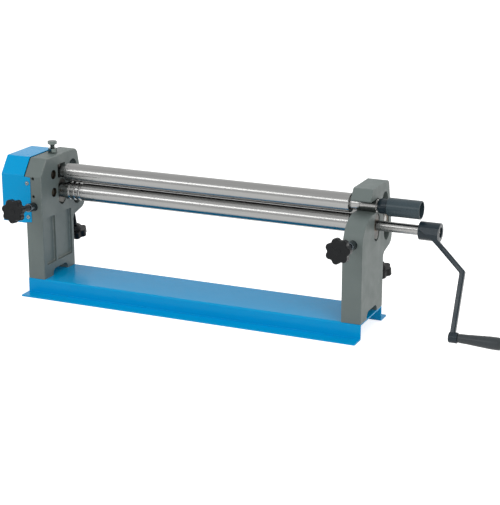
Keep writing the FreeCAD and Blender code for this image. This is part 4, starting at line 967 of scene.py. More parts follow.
@dataclass
class SideFrame:
    """Cast side frame. Heights are from the floor, the rest is measured behind the front face."""

    side: Side
    chamfer_low: float = 252.0
    chamfer_back: float = 25.0
    jaw_high: float = 235.4
    jaw_radius: float = 55.0
    mouth: float = 27.0
    mouth_back: float = 83.0
    lip: Point = (38.5, 55.0)
    column: float = 125.0
    head_radius: float = 16.0
    belly_drop: float = 34.2
    belly_radius: float = 18.0
    belly_fillet: float = 12.0
    slot_wall: float = 29.0
    slot_low: Point = (143.2, 180.5)
    slot_run: float = 70.0
    slot_wide: float = 33.0
    upright_back: float = 82.0
    upright: Point = (192.0, 217.0)
    upright_wide: float = 30.0
    window: Point = (236.0, 265.0)
    arch: Point = (34.0, 94.0)
    arch_high: float = 14.0
    arch_radius: float = 12.0
    recesses: tuple[Point, Point] = ((12.0, 49.0), (54.0, 115.0))
    recess_rise: Point = (60.0, 161.0)
    recess_deep: float = 6.0
    recess_corner: float = 4.0
    recess_floor: float = 2.5
    idler_back: float = 49.909
    idler_rise: Point = (209.25, 247.25)
    idler_hole: float = 10.0
    set_hole: float = 3.5
    set_clear: float = 5.0
    screw_high: float = 188.0
    spot_face: tuple[float, float, float] = (9.35, 3.0, 9.0)
    screw_hole: float = 6.3
    belly_clear: float = 6.0
    belly_hole: float = 26.0
    cast_edge: float = 2.8
    rim: float = 0.8
    past: float = 3.0

    def along_slot(self, run: float) -> Point:
        """Point on the inclined slot's centre line, run above its low centre."""
        return (self.slot_low[0] - run * math.sin(SLOT_TILT), self.slot_low[1] + run * math.cos(SLOT_TILT))

    def outline(self, sole: float, top: float) -> list[Point]:
        """Outer edge of the casting, as seen from the right.

        Args:
            sole: Height of the foot.
            top: Height of the head.

        Returns:
            The outline's points in order.
        """
        soft = self.cast_edge
        down = self.along_slot(-self.belly_drop)
        belly = (down[0] + self.slot_wall * math.cos(SLOT_TILT),
                 down[1] + self.slot_wall * math.sin(SLOT_TILT))
        belly_end = down[1] + (self.column - down[0]) * math.tan(SLOT_TILT)
        crown = (self.slot_low[0] + self.slot_wall / math.cos(SLOT_TILT)
                 - (top - self.slot_low[1]) * math.tan(SLOT_TILT))
        rear = [(crown, top, self.head_radius), (*belly, self.belly_radius),
                (self.column, belly_end, self.belly_fillet), (self.column, sole, 0)]
        if self.side is Side.LEFT:
            front = [(0, sole, 0), (0, self.chamfer_low, 2 * soft), (self.chamfer_back, top, 2 * soft)]
            return rounded(front + rear)
        roof, end = self.jaw_high + self.mouth, self.mouth_back + self.mouth / 2
        round_end = self.mouth / 2 - WELD
        front = [(0, sole, 0), (0, self.jaw_high, self.jaw_radius), (end, self.jaw_high, round_end),
                 (end, roof, round_end), (self.lip[0], roof, soft), (self.lip[1], top, 2 * soft)]
        return rounded(front + rear, step=6)

    def build(self) -> None:
        """Cast the column, core its openings and machine its slots and holes."""
        node = self.side.word + "_frame"
        box = Box.of(node)
        face, sole, top = box.low.y, box.low.z, box.high.z
        low, high = box.low.x, box.high.x
        inner, inward = (high, 1) if self.side is Side.LEFT else (low, -1)
        shift = Matrix.Translation((0, face, 0))
        shape = Shape.prism(self.outline(sole, top), low, high)
        shape.soften(self.cast_edge, 3, angle=60,
                     pick=lambda edge: max(vert.co.z for vert in edge.verts) > sole + NEAR
                     and abs(edge.verts[0].co.x - edge.verts[1].co.x) < NEAR)
        past = self.past
        cutters = [
            obround((self.upright_back, self.upright[0]), (self.upright_back, self.upright[1]),
                    self.upright_wide / 2),
            obround(self.slot_low, self.along_slot(self.slot_run), self.slot_wide / 2),
            rounded([(self.arch[0], sole - past, 0), (self.arch[1], sole - past, 0),
                     (self.arch[1], sole + self.arch_high, self.arch_radius),
                     (self.arch[0], sole + self.arch_high, self.arch_radius)]),
        ]
        if self.side is Side.LEFT:
            start, end = self.upright_back - self.upright_wide / 2, self.upright_back + self.upright_wide / 2
            cutters.append([(start, self.window[0]), (end, self.window[0]), (end, self.window[1]),
                            (start, self.window[1])])
            cutters += [circle(self.idler_hole, (self.idler_back, rise)) for rise in self.idler_rise]
        through = [Shape.prism(outline, low - past, high + past) for outline in cutters]
        shape.cut(through[0].joined(*through[1:]), self.recess_cutter(inner, inward))

        def cut_rim(edge: bmesh.types.BMEdge) -> bool:
            """Edge that lies in one of the two side faces."""
            return all(min(abs(vert.co.x - low), abs(vert.co.x - high)) < NEAR for vert in edge.verts)

        shape.soften(self.rim, 2, angle=60, pick=cut_rim)
        middle = (low + high) / 2
        falling = placed((middle, 0, self.screw_high), FRONT_SCREW_AXIS)
        radius, deep, clear = self.spot_face
        holes = [Shape.bar(-clear, deep, radius).moved(falling)]
        belly = self.along_slot(-self.belly_drop - self.belly_clear)
        under = placed((middle, *belly), REAR_SCREW_AXIS)
        holes.append(Shape.bar(0, self.belly_hole, self.screw_hole).moved(under))
        if self.side is Side.LEFT:
            for rise in self.idler_rise:
                straight = placed((middle, -self.set_clear, rise), (0, 1, 0))
                holes.append(Shape.bar(0, self.idler_back, self.set_hole, steps=32).moved(straight))
        shape.cut(*holes)
        shape.moved(shift).piece(f"side_frame_{self.side.word}", "stand", CAST_GREY, node)

    def recess_cutter(self, inner: float, inward: float) -> Shape:
        """Core of the two recesses in the inner face, its floor edges rounded.

        Args:
            inner: X of the inner face.
            inward: 1 or -1, the way from the frame to the rolls.

        Returns:
            Both cores as one cutter.
        """
        low, high = self.recess_rise
        floor = inner - inward * self.recess_deep
        cores = []
        for start, end in self.recesses:
            corner = self.recess_corner
            outline = rounded([(start, low, corner), (end, low, corner), (end, high, corner),
                               (start, high, corner)])
            core = Shape.prism(outline, floor, inner + inward * self.past)
            core.soften(self.recess_floor, 3, angle=60,
                        pick=lambda edge: all(abs(vert.co.x - floor) < NEAR for vert in edge.verts))
            cores.append(core)
        return cores[0].joined(cores[1])


@dataclass
class GearCover:
    """Folded sheet box over the gear train, lapping the left column's front."""

    sheet: float = 1.5
    fold: float = 1.9
    slant_low: float = 252.0
    slant_back: float = 25.0
    tab_wide: float = 14.0
    tab_drop: float = 1.2
    notch: float = 10.0
    notch_high: float = 188.0
    notch_reach: float = 40.0
    cut_edge: float = 0.3
    screw_spots: Point = (237.0, 165.0)
    screw_inset: float = 7.0
    screw_turn: float = 17.0
    screw_head: tuple[Point, ...] = ((0, 0), (0, 4.4), (0.4, 4.55), (1.0, 4.4), (1.9, 3.6), (2.6, 2.2),
                                     (2.9, 1.0), (3.0, 0))
    recess_long: float = 2.2
    recess_wide: float = 0.45
    recess_floor: float = 1.3
    recess_turn: float = 30.0

    def build(self) -> None:
        """Fold the box, run its front wall out into the tab and give the sheet its thickness."""
        box, column = Box.of("gear_cover"), Box.of("left_frame")
        face, top, bottom, rear = column.low.y, column.high.z, box.low.z, box.high.y
        sheet = self.sheet
        slant = math.atan(self.slant_back / (top - self.slant_low))
        outline = [
            (face - sheet, bottom), (face - sheet, self.slant_low + sheet * math.tan(slant / 2)),
            (face + self.slant_back - sheet * math.tan((math.pi / 2 - slant) / 2), top + sheet),
            (rear, top + sheet), (rear, bottom),
        ]
        edge_x = column.low.x
        shape = Shape.prism(outline, box.low.x, edge_x)
        shape.soften(self.fold, 4, angle=20,
                     pick=lambda edge: min(vert.co.x for vert in edge.verts) < edge_x - NEAR)
        open_side = [item for item in shape.bm.faces
                     if all(abs(vert.co.x - edge_x) < NEAR for vert in item.verts)]
        bmesh.ops.delete(shape.bm, geom=open_side, context="FACES_ONLY")
        rim = [edge for edge in shape.bm.edges if len(edge.link_faces) == 1
               and all(abs(vert.co.y - (face - sheet)) < NEAR for vert in edge.verts)]
        run = bmesh.ops.extrude_edge_only(shape.bm, edges=rim)["geom"]
        moved = [item for item in run if isinstance(item, bmesh.types.BMVert)]
        bmesh.ops.translate(shape.bm, verts=moved, vec=(self.tab_wide, 0, 0))
        half_way = (top + bottom) / 2
        for vert in moved:
            vert.co.z += -self.tab_drop if vert.co.z > half_way else self.tab_drop
        bmesh.ops.recalc_face_normals(shape.bm, faces=shape.bm.faces)
        facing = sum(item.normal.y for item in shape.bm.faces if item.calc_center_median().y < face)
        if facing > 0:
            bmesh.ops.reverse_faces(shape.bm, faces=shape.bm.faces)
        bmesh.ops.solidify(shape.bm, geom=shape.bm.faces[:], thickness=sheet)
        shape.welded()
        middle = (column.low.x + column.high.x) / 2
        notch = placed((middle, face - self.notch_reach / 2, self.notch_high), (0, 1, 0))
        shape.cut(Shape.bar(0, self.notch_reach, self.notch, steps=64).moved(notch))
        shape.soften(self.cut_edge, 2, angle=60)
        shape.piece("cover", "stand", BASE_BLUE, "gear_cover")
        self.build_screws(face)

    def build_screws(self, face: float) -> None:
        """Two round-head screws with cross recesses.

        Args:
            face: Y of the column's front face.
        """
        screw = Shape.turned(self.screw_head, 40)
        long, wide = self.recess_long, self.recess_wide
        for turn in (0, 90):
            blade = Shape.prism([(-long, -wide), (long, -wide), (long, wide), (-long, wide)],
                                self.recess_floor, self.screw_head[-1][0] + 1)
            screw.cut(blade.moved(Matrix.Rotation(math.radians(turn + self.recess_turn), 4, "X")))
        x = Box.of("left_frame").low.x + self.screw_inset
        spots = [placed((x, face - self.sheet, high), (0, -1, 0), roll=self.screw_turn * index)
                 for index, high in enumerate(self.screw_spots)]
        pair = screw.copy().moved(spots[0]).joined(screw.moved(spots[1]))
        pair.piece("cover_screw_pair", "stand", ZINC_FACE, "cover_screws")


@dataclass
class FootFasteners:
    """Hexagon bolts and washers under the base's top plate."""

    flats: float = 17.0
    head: float = 6.4
    shank: float = 4.9
    shank_run: float = 3.0
    washer: tuple[float, float, float] = (10.5, 5.5, 2.0)
    washer_lip: float = 0.2
    turned_by: float = 13.0

    def build(self) -> None:
        """One of each, copied to the four places."""
        plate = Box.of("frame_washers")
        outer, bore, thick = self.washer
        spots = [(x, y) for x in (plate.low.x + outer, plate.high.x - outer)
                 for y in (plate.low.y + outer, plate.high.y - outer)]
        top = plate.high.z
        bolt = Shape.hexagon(self.flats, thick, thick + self.head)
        bolt.joined(Shape.bar(-self.shank_run, thick, self.shank, steps=32))
        washer = Shape.tube(0, thick, outer, bore, self.washer_lip)
        for name, master in (("bolts", bolt), ("washers", washer)):
            whole = Shape()
            for index, (x, y) in enumerate(spots):
                place = placed((x, y, top), (0, 0, -1), roll=self.turned_by * index)
                whole.joined(master.copy().moved(place))
            whole.piece("foot_" + name, "stand", ZINC, "frame_" + name)


@dataclass
class PivotScrew:
    """Hexagon screw that the upper roll swings on, locked by a jam nut."""

    flats: float = 17.0
    head: float = 7.0
    collar: tuple[float, float, float] = (7.6, 7.9, 0.6)
    radius: float = 5.0
    pitch: float = 1.5
    thread_past: Point = (6.0, 2.0)
    nut_turn: float = 20.0
    nut_sink: float = 1.0

    def build(self) -> None:
        """Head, thread between head and nut, and the nut itself."""
        screw, nut = Box.of("pivot_screw"), Box.of("pivot_jam_nut")
        x, y = nut.centre.x, nut.centre.y
        under = screw.high.z - self.head
        head = Shape.hexagon(self.flats, under, screw.high.z)
        low, high, thick = self.collar
        collar = Shape.turned([(under - thick, 0), (under - thick, low), (under, high), (under, 0)], 48)
        below, above = self.thread_past
        thread = Shape.thread(nut.low.z - below, under + above, self.radius, self.pitch)
        head.joined(collar, thread).moved(placed((x, y, 0), UPRIGHT))
        head.piece("pivot_bolt", "stand", ZINC, "pivot_screw")
        lock = Shape.hexagon(self.flats, nut.low.z, nut.high.z, both=True)
        lock.cut(Shape.countersunk(nut.low.z - 2, nut.high.z, self.radius, self.nut_sink))
        lock.moved(placed((x, y, 0), UPRIGHT, self.nut_turn))
        lock.piece("pivot_lock_nut", "stand", ZINC, "pivot_jam_nut")


# ------------------------------------------------------------------ rolls and bearings


@dataclass
class Rolls:
    """Lower driven roll, swing-out upper roll and rear bending roll."""

    radius: float = 19.0
    rim: tuple[Point, ...] = ((0.0, 1.0), (0.3, 0.45), (1.0, 0.05), (1.5, 0.0))
    journal: float = 10.0
    seat: float = 7.0
    left_gap: float = 15.5
    right_gap: float = 12.5
    collar: float = 16.5
    collar_gap: float = 1.0
    swing_gap: float = 3.0
    mouth_journal: float = 12.5
    mouth_end: float = 371.0
    oil_groove: tuple[float, float, float] = (338.0, 1.5, 1.0)
    oil_wall: float = 0.2
    grooves: tuple[Point, ...] = ((26.5, 2.0), (38.5, 2.5), (50.5, 3.0))
    groove_lip: Point = (0.25, 0.06)
    shaft_bevel: float = 1.5
    centre_hole: float = 2.5
    rear_rim: float = 0.8
    steps: int = 144

    def shoulder(self, x: float, inner: float, outer: float, broken: float = 0.5) -> list[Point]:
        """Profile of a step up from inner to outer at x, or down if inner is the larger.

        Args:
            x: Where the step stands.
            inner: Radius before the step.
            outer: Radius after it.
            broken: Width of the bevel at its rim.

        Returns:
            Profile points in order.
        """
        if outer > inner:
            return [(x, inner), (x, outer - broken), (x + broken, outer)]
        return [(x - broken, inner), (x, inner - broken), (x, outer)]

    def barrel(self, inner: float, collar: float, gap: float, grooved: bool) -> list[Point]:
        """Profile of a roll's working length and the collars beside it.

        Args:
            inner: X of the right frame's inner face.
            collar: Radius of the collars.
            gap: Left frame to the left collar.
            grooved: Whether three half-round grooves pass wired edges.

        Returns:
            Profile points from the left collar to the right one.
        """
        left, right, radius = self.left_gap - inner, inner - self.right_gap, self.radius
        lip, turn = self.groove_lip
        points = self.shoulder(gap - inner, self.journal, collar)
        points += [(left, collar), *((left + along, radius - below) for along, below in self.rim)]
        for back, size in self.grooves if grooved else ():
            groove = half_round(back - inner, radius, size)
            start, end = groove[0][0], groove[-1][0]
            points += [(start - lip, radius), (start + turn, radius - lip), *groove[2:-2],
                       (end - turn, radius - lip), (end + lip, radius)]
        points += [(right - along, radius - below) for along, below in reversed(self.rim)]
        return [*points, (right, collar)]

    def gear_seat(self, box: Box, end: float) -> list[Point]:
        """Profile of the seat at a driven roll's left end and of its journal's start."""
        start, seat = box.low.x, self.seat
        return [(start, 0), (start, seat - 0.5), (start + 0.5, seat), (end, seat), (end, self.journal)]

    def build(self) -> None:
        """Turn the three rolls."""
        inner = Box.of("right_frame").low.x
        seat_end = Box.of("lower_roll_gear").high.x
        lower, upper, rear = (Box.of(name + "_roll") for name in ("lower", "upper", "rear"))
        journal, collar_end = self.journal, inner - self.collar_gap
        tip = lower.high.x
        profile = self.gear_seat(lower, seat_end)
        profile += self.barrel(inner, self.collar, self.collar_gap, True)
        profile += self.shoulder(collar_end, self.collar, journal)
        bevel, hole, wall = self.shaft_bevel, self.centre_hole, self.oil_wall
        profile += [(tip - bevel, journal), (tip, journal - bevel), (tip, hole), (tip - hole, 0)]
        self.turn(profile, lower, "roll_lower", "lower_roll")
        start, wide, deep = self.oil_groove
        thick = self.mouth_journal
        profile = self.gear_seat(upper, seat_end)
        profile += self.barrel(inner, thick, self.swing_gap, False)
        profile += [(start, thick), (start + wall, thick - deep), (start + wide - wall, thick - deep),
                    (start + wide, thick)]
        profile += self.shoulder(self.mouth_end, thick, journal)
        profile += [(upper.high.x, journal), (upper.high.x, 0)]
        self.turn(profile, upper, "roll_upper", "upper_roll")
        profile = self.shoulder(rear.low.x, 0.0, journal, self.rear_rim)
        profile += self.barrel(inner, self.collar, self.collar_gap, True)
        profile += self.shoulder(collar_end, self.collar, journal)
        profile += self.shoulder(rear.high.x, journal, 0.0, self.rear_rim)
        self.turn(profile, rear, "roll_rear", "rear_roll")

    def turn(self, profile: list[Point], box: Box, name: str, node: str) -> None:
        """Spin one roll's profile about the middle of its node's box."""
        place = Matrix.Translation((0, box.centre.y, box.centre.z))
        Shape.turned(profile, self.steps).moved(place).piece(name, node, GROUND_STEEL, node, crease=28)


@dataclass
class Bearings:
    """Sliding blocks with bronze bushes, the swivel block and the idler shafts' ends."""

    bush: Point = (11.97, 10.03)
    rear_bush: Point = (12.0, 10.03)
    bush_fit: float = 0.03
    bush_lip: float = 0.6
    slide: float = 14.97
    block_low: float = 180.0
    rear_slide: float = 16.47
    rear_spread: float = 10.0
    foot_slope: float = math.radians(19)
    foot_drop: float = 27.55
    foot_reach: float = 25.0
    foot_deep: float = 30.0
    rim: float = 0.5
    swivel_rim: float = 0.6
    swivel_mouth: float = 0.4
    past: float = 2.0
    shaft_pin: float = 6.0
    shaft_rim: float = 0.6
    shaft_clear: float = 0.2
    shaft_boss: float = 6.2
    shaft_cup: float = 3.0
    shaft_centre: Point = (2.6, 2.0)

    def build(self) -> None:
        """Both sides' blocks and bushes, then what only the left frame holds."""
        for side in Side:
            self.build_lower(side)
            self.build_rear(side)
        self.build_swivel()
        self.build_idler_shafts()
        self.build_set_screws()

    def build_lower(self, side: Side) -> None:
        """Upright sliding block that stands on the wedge pin, with its bush.

        Args:
            side: The side of the machine.
        """
        node = f"lower_{side.word}_block"
        box, axis = Box.of(node), Box.of("lower_roll").centre
        low, high = box.low.x, box.high.x
        start, end = low - self.past, high + self.past
        sole, top = self.block_low + self.slide, box.high.z - self.slide
        shape = Shape.prism(obround((axis.y, sole), (axis.y, top), self.slide), low, high)
        foot_z, reach = axis.z - self.foot_drop, self.foot_reach
        rise, fall = reach * math.tan(self.foot_slope), self.foot_deep
        foot = Shape.prism([(axis.y - reach, foot_z + rise), (axis.y - reach, foot_z - fall),
                            (axis.y + reach, foot_z - fall), (axis.y + reach, foot_z - rise)], start, end)
        bore = Shape.prism(circle(self.bush[0] + self.bush_fit, (axis.y, axis.z), 72), start, end)
        shape.cut(foot, bore).soften(self.rim, 2, angle=55)
        shape.piece(f"slide_lower_{side.word}", "lower_carriage", MACHINED_STEEL, node)
        ring = Shape.tube(low, high, *self.bush, self.bush_lip)
        ring.moved(Matrix.Translation((0, axis.y, axis.z)))
        ring.piece(f"bush_lower_{side.word}", "lower_bushes", BRONZE, f"lower_{side.word}_bush")

    def build_rear(self, side: Side) -> None:
        """Inclined sliding block with its bush.

        Args:
            side: The side of the machine.
        """
        node = f"rear_{side.word}_block"
        box, axis = Box.of(node), Box.of("rear_roll").centre
        low, high = box.low.x, box.high.x
        half = self.rear_spread / 2
        place = Matrix.Translation((0, axis.y, axis.z)) @ Matrix.Rotation(SLOT_TILT, 4, "X")
        outer, inner = self.rear_bush
        shape = Shape.prism(obround((0, -half), (0, half), self.rear_slide), low, high)
        shape.cut(Shape.prism(circle(outer, steps=72), low - self.past, high + self.past))
        shape.soften(self.rim, 2, angle=55).moved(place)
        shape.piece(f"slide_rear_{side.word}", "rear_carriage", MACHINED_STEEL, node)
        ring = Shape.tube(low, high, outer - 0.02, inner, self.bush_lip)
        ring.moved(Matrix.Translation((0, axis.y, axis.z)))
        ring.piece(f"bush_rear_{side.word}", "rear_carriage", BRONZE, f"rear_{side.word}_bush")

    def build_swivel(self) -> None:
        """Upright round block that turns under the pivot screw."""
        box, axis = Box.of("swivel_block"), Box.of("upper_roll").centre
        half = (box.high.z - box.low.z) / 2
        disc = Shape.bar(-half, half, self.slide, self.swivel_rim, ROUND_STEPS)
        disc.moved(placed(box.centre, UPRIGHT))
        hole = circle(self.bush[1], (axis.y, axis.z), 72)
        disc.cut(Shape.prism(hole, box.low.x - self.past, box.high.x + self.past))
        disc.soften(self.swivel_mouth, 2, angle=50)
        disc.piece("swivel", "swivel", MACHINED_STEEL, "swivel_block")

    def build_idler_shafts(self) -> None:
        """Turned stub shafts; the end that shows in the frame is a cup round a centre-drilled boss."""
        box = Box.of("idler_shafts")
        radius = (box.high.y - box.low.y) / 2
        tip, tail, pin, rim = box.high.x, box.low.x, self.shaft_pin, self.shaft_rim
        shoulder = Box.of("lower_idler_gear").high.x + self.shaft_clear
        mouth, boss = Box.of("left_frame").high.x - rim, self.shaft_boss
        cup, edge = mouth - self.shaft_cup, 0.5
        drill, deep = self.shaft_centre
        profile = [(tail, 0), (tail, pin - rim), (tail + rim, pin), (shoulder, pin), (shoulder, radius),
                   (mouth, radius), (mouth, radius - 0.4), (tip, radius - 0.9), (tip, boss), (cup, boss),
                   (cup + edge, boss - edge), (cup + edge, drill), (cup + edge - deep, 0)]
        shafts = Shape()
        for z in (box.low.z + radius, box.high.z - radius):
            shafts.joined(Shape.turned(profile).moved(Matrix.Translation((0, box.centre.y, z))))
        shafts.piece("idler_stubs", "stand", STUB_STEEL, "idler_shafts")

    def build_set_screws(self) -> None:
        """Socket set screws that lock the stub shafts."""
        box = Box.of("idler_set_screws")
        radius = (box.high.x - box.low.x) / 2
        screw = socket_screw(radius, box.high.y - box.low.y)
        screws = Shape()
        for z in (box.low.z + radius, box.high.z - radius):
            screws.joined(screw.copy().moved(placed((box.centre.x, box.high.y, z), (0, -1, 0))))
        screws.piece("idler_grub_screws", "stand", BLACKED, "idler_set_screws")


def socket_screw(radius: float, length: float) -> Shape:
    """Headless screw along X from 0, with a hexagon socket in its far end.

    Args:
        radius: Radius of the screw.
        length: Its length.

    Returns:
        The closed screw.
    """
    point, rim, half_flats = 0.8, 0.6, radius * 0.55
    profile = [(0, 0), (0, radius - point), (point, radius), (length - rim, radius), (length, radius - rim),
               (length, 0)]
    socket = circle(half_flats / math.cos(math.pi / 6), steps=6)
    return Shape.turned(profile, 40).cut(Shape.prism(socket, length - radius, length + 2))


# ------------------------------------------------------------------ adjusters


@dataclass(frozen=True)
class StarKnob:
    """Moulded star knob: local zero is its outer face and +X runs to the machine."""

    across: float = 50.0
    lobe: float = 7.5
    valley: float = 5.0
    lobes: int = 7
    thick: float = 16.0
    hub: float = 12.0
    hub_long: float = 9.0
    bore: float = 6.0
    bore_deep: float = 3.0
    front_rim: float = 2.6
    back_rim: float = 1.4
    dish: tuple[Point, ...] = ((2.0, 0.0), (0.6, -0.5))
    boss: tuple[Point, ...] = ((-0.2, 0), (-0.2, 6.4), (0.1, 7.0), (0.6, 7.2), (2, 7.2), (2, 0))

    def star(self) -> list[Point]:
        """Outline of lobes and valleys in turn, tangent to each other.

        Returns:
            The outline's points in order.
        """
        ring, step, parts = self.across / 2 - self.lobe, 2 * math.pi / self.lobes, 6
        reach = self.lobe + self.valley
        dip = ring * math.cos(step / 2) + math.sqrt(reach ** 2 - (ring * math.sin(step / 2)) ** 2)
        swing = math.atan2(dip * math.sin(step / 2), dip * math.cos(step / 2) - ring)

        def spot(out: float, way: float, size: float, turn: float) -> Point:
            """Point of an arc of radius size whose centre lies out along way."""
            return (out * math.cos(way) + size * math.cos(turn), out * math.sin(way) + size * math.sin(turn))

        points = []
        for index in range(self.lobes):
            middle = index * step
            points += [spot(ring, middle, self.lobe, middle + swing * part / parts)
                       for part in range(-parts, parts + 1)]
            start, end = middle + swing + math.pi, middle + step - swing + math.pi
            points += [spot(dip, middle + step / 2, self.valley, start + (end - start) * part / parts)
                       for part in range(1, parts)]
        return points

    def shape(self) -> Shape:
        """Dished star with rounded rims on a turned hub.

        Returns:
            The closed knob.
        """
        star = Shape.prism(self.star(), 0, self.thick)

        def rim(x: float) -> Callable[[bmesh.types.BMEdge], bool]:
            """Test for edges that lie at one X."""
            return lambda edge: all(abs(vert.co.x - x) < NEAR for vert in edge.verts)

        star.soften(self.front_rim, 4, angle=60, pick=rim(0))
        star.soften(self.back_rim, 3, angle=60, pick=rim(self.thick))
        crown = [face for face in star.bm.faces
                 if face.calc_center_median().x < NEAR and face.normal.x < -0.99]
        for inset, depth in self.dish:
            bmesh.ops.inset_region(star.bm, faces=crown, thickness=inset, depth=depth)
        root, size, end, floor = self.thick, self.hub, self.thick + self.hub_long, self.bore_deep
        hub = [(root - 1, 0), (root - 1, size + 2), (root, size + 2), (root + 0.6, size + 0.8),
               (root + 2, size), (end - 1, size - 0.9), (end - 0.3, size - 1.2), (end, size - 2),
               (end, self.bore), (end - floor, self.bore), (end - floor, 0)]
        return star.joined(Shape.turned(hub, 64), Shape.turned(self.boss, 48)).welded()


@dataclass
class Adjuster:
    """Screw with a star knob on its outer end."""

    side: Side
    phase: float = 0.0
    screw: float = 5.95
    core: float = 5.0
    pitch: float = 1.75
    knob: StarKnob = StarKnob()

    def fit(self, row: str, place: Matrix, out: float, thread_end: float, core: Point, finish: Metal) -> None:
        """Fit the knob and the screw.

        Args:
            row: The row that the adjuster belongs to, front or rear.
            place: Place of the screw's axis, with +X towards the machine.
            out: Distance from there back to the knob's outer face.
            thread_end: Where the thread stops.
            core: Start and end of the plain core inside the machine.
            finish: Surface of the screw.
        """
        name = f"{row}_{self.side.word}"
        body = name + "_screw"
        turn = Matrix.Rotation(math.radians(self.phase), 4, "X")
        star = self.knob.shape().moved(place @ Matrix.Translation((-out, 0, 0)) @ turn)
        star.piece("knob_" + name, body, KNOB_BLACK, name + "_knob", crease=40)
        thread = Shape.thread(self.knob.thick + 1 - out, thread_end, self.screw, self.pitch)
        thread.joined(Shape.bar(*core, self.core, steps=32)).moved(place)
        thread.piece("spindle_" + name, body, finish, body)


@dataclass
class FrontAdjuster(Adjuster):
    """Adjuster with a sleeve; it presses the wedge under the lower roll."""

    out: float = 84.0
    high: float = 188.0
    thread_end: float = -14.0
    core_end: float = 50.0
    sleeve_out: float = 22.0
    sleeve: float = 9.0
    sleeve_in: float = 2.9
    sleeve_bore: float = 6.05

    def build(self) -> Shape:
        """Dress one front adjuster.

        Returns:
            The sleeve, which the two sides share as one piece.
        """
        column = Box.of(self.side.word + "_frame")
        place = placed((column.centre.x, column.low.y, self.high), FRONT_SCREW_AXIS)
        out, wall, inside, bore = self.sleeve_out, self.sleeve, self.sleeve_in, self.sleeve_bore
        self.fit("front", place, self.out, self.thread_end, (-out, self.core_end), BLACKED)
        sleeve = [(-out, bore), (-out, wall - 1.2), (-out + 0.4, wall - 0.5), (-out + 1.2, wall), (-4, wall),
                  (-3.2, wall - 0.5), (-2.4, wall - 0.5), (-1.6, wall), (inside, wall), (inside, bore),
                  (-out, bore)]
        return Shape.turned(sleeve, 72).moved(place)


@dataclass
class RearAdjuster(Adjuster):
    """Adjuster under a rear bearing block."""

    down: float = 124.0
    thread_end: float = -24.0
    tip: Point = (-26.0, -21.6)

    def build(self) -> None:
        """Dress one rear adjuster."""
        axis = Box.of("rear_roll").centre
        place = placed((Box.of(self.side.word + "_frame").centre.x, axis.y, axis.z), REAR_SCREW_AXIS)
        self.fit("rear", place, self.down, self.thread_end, self.tip, BLACKED_REAR)


# ------------------------------------------------------------------ crank and handle


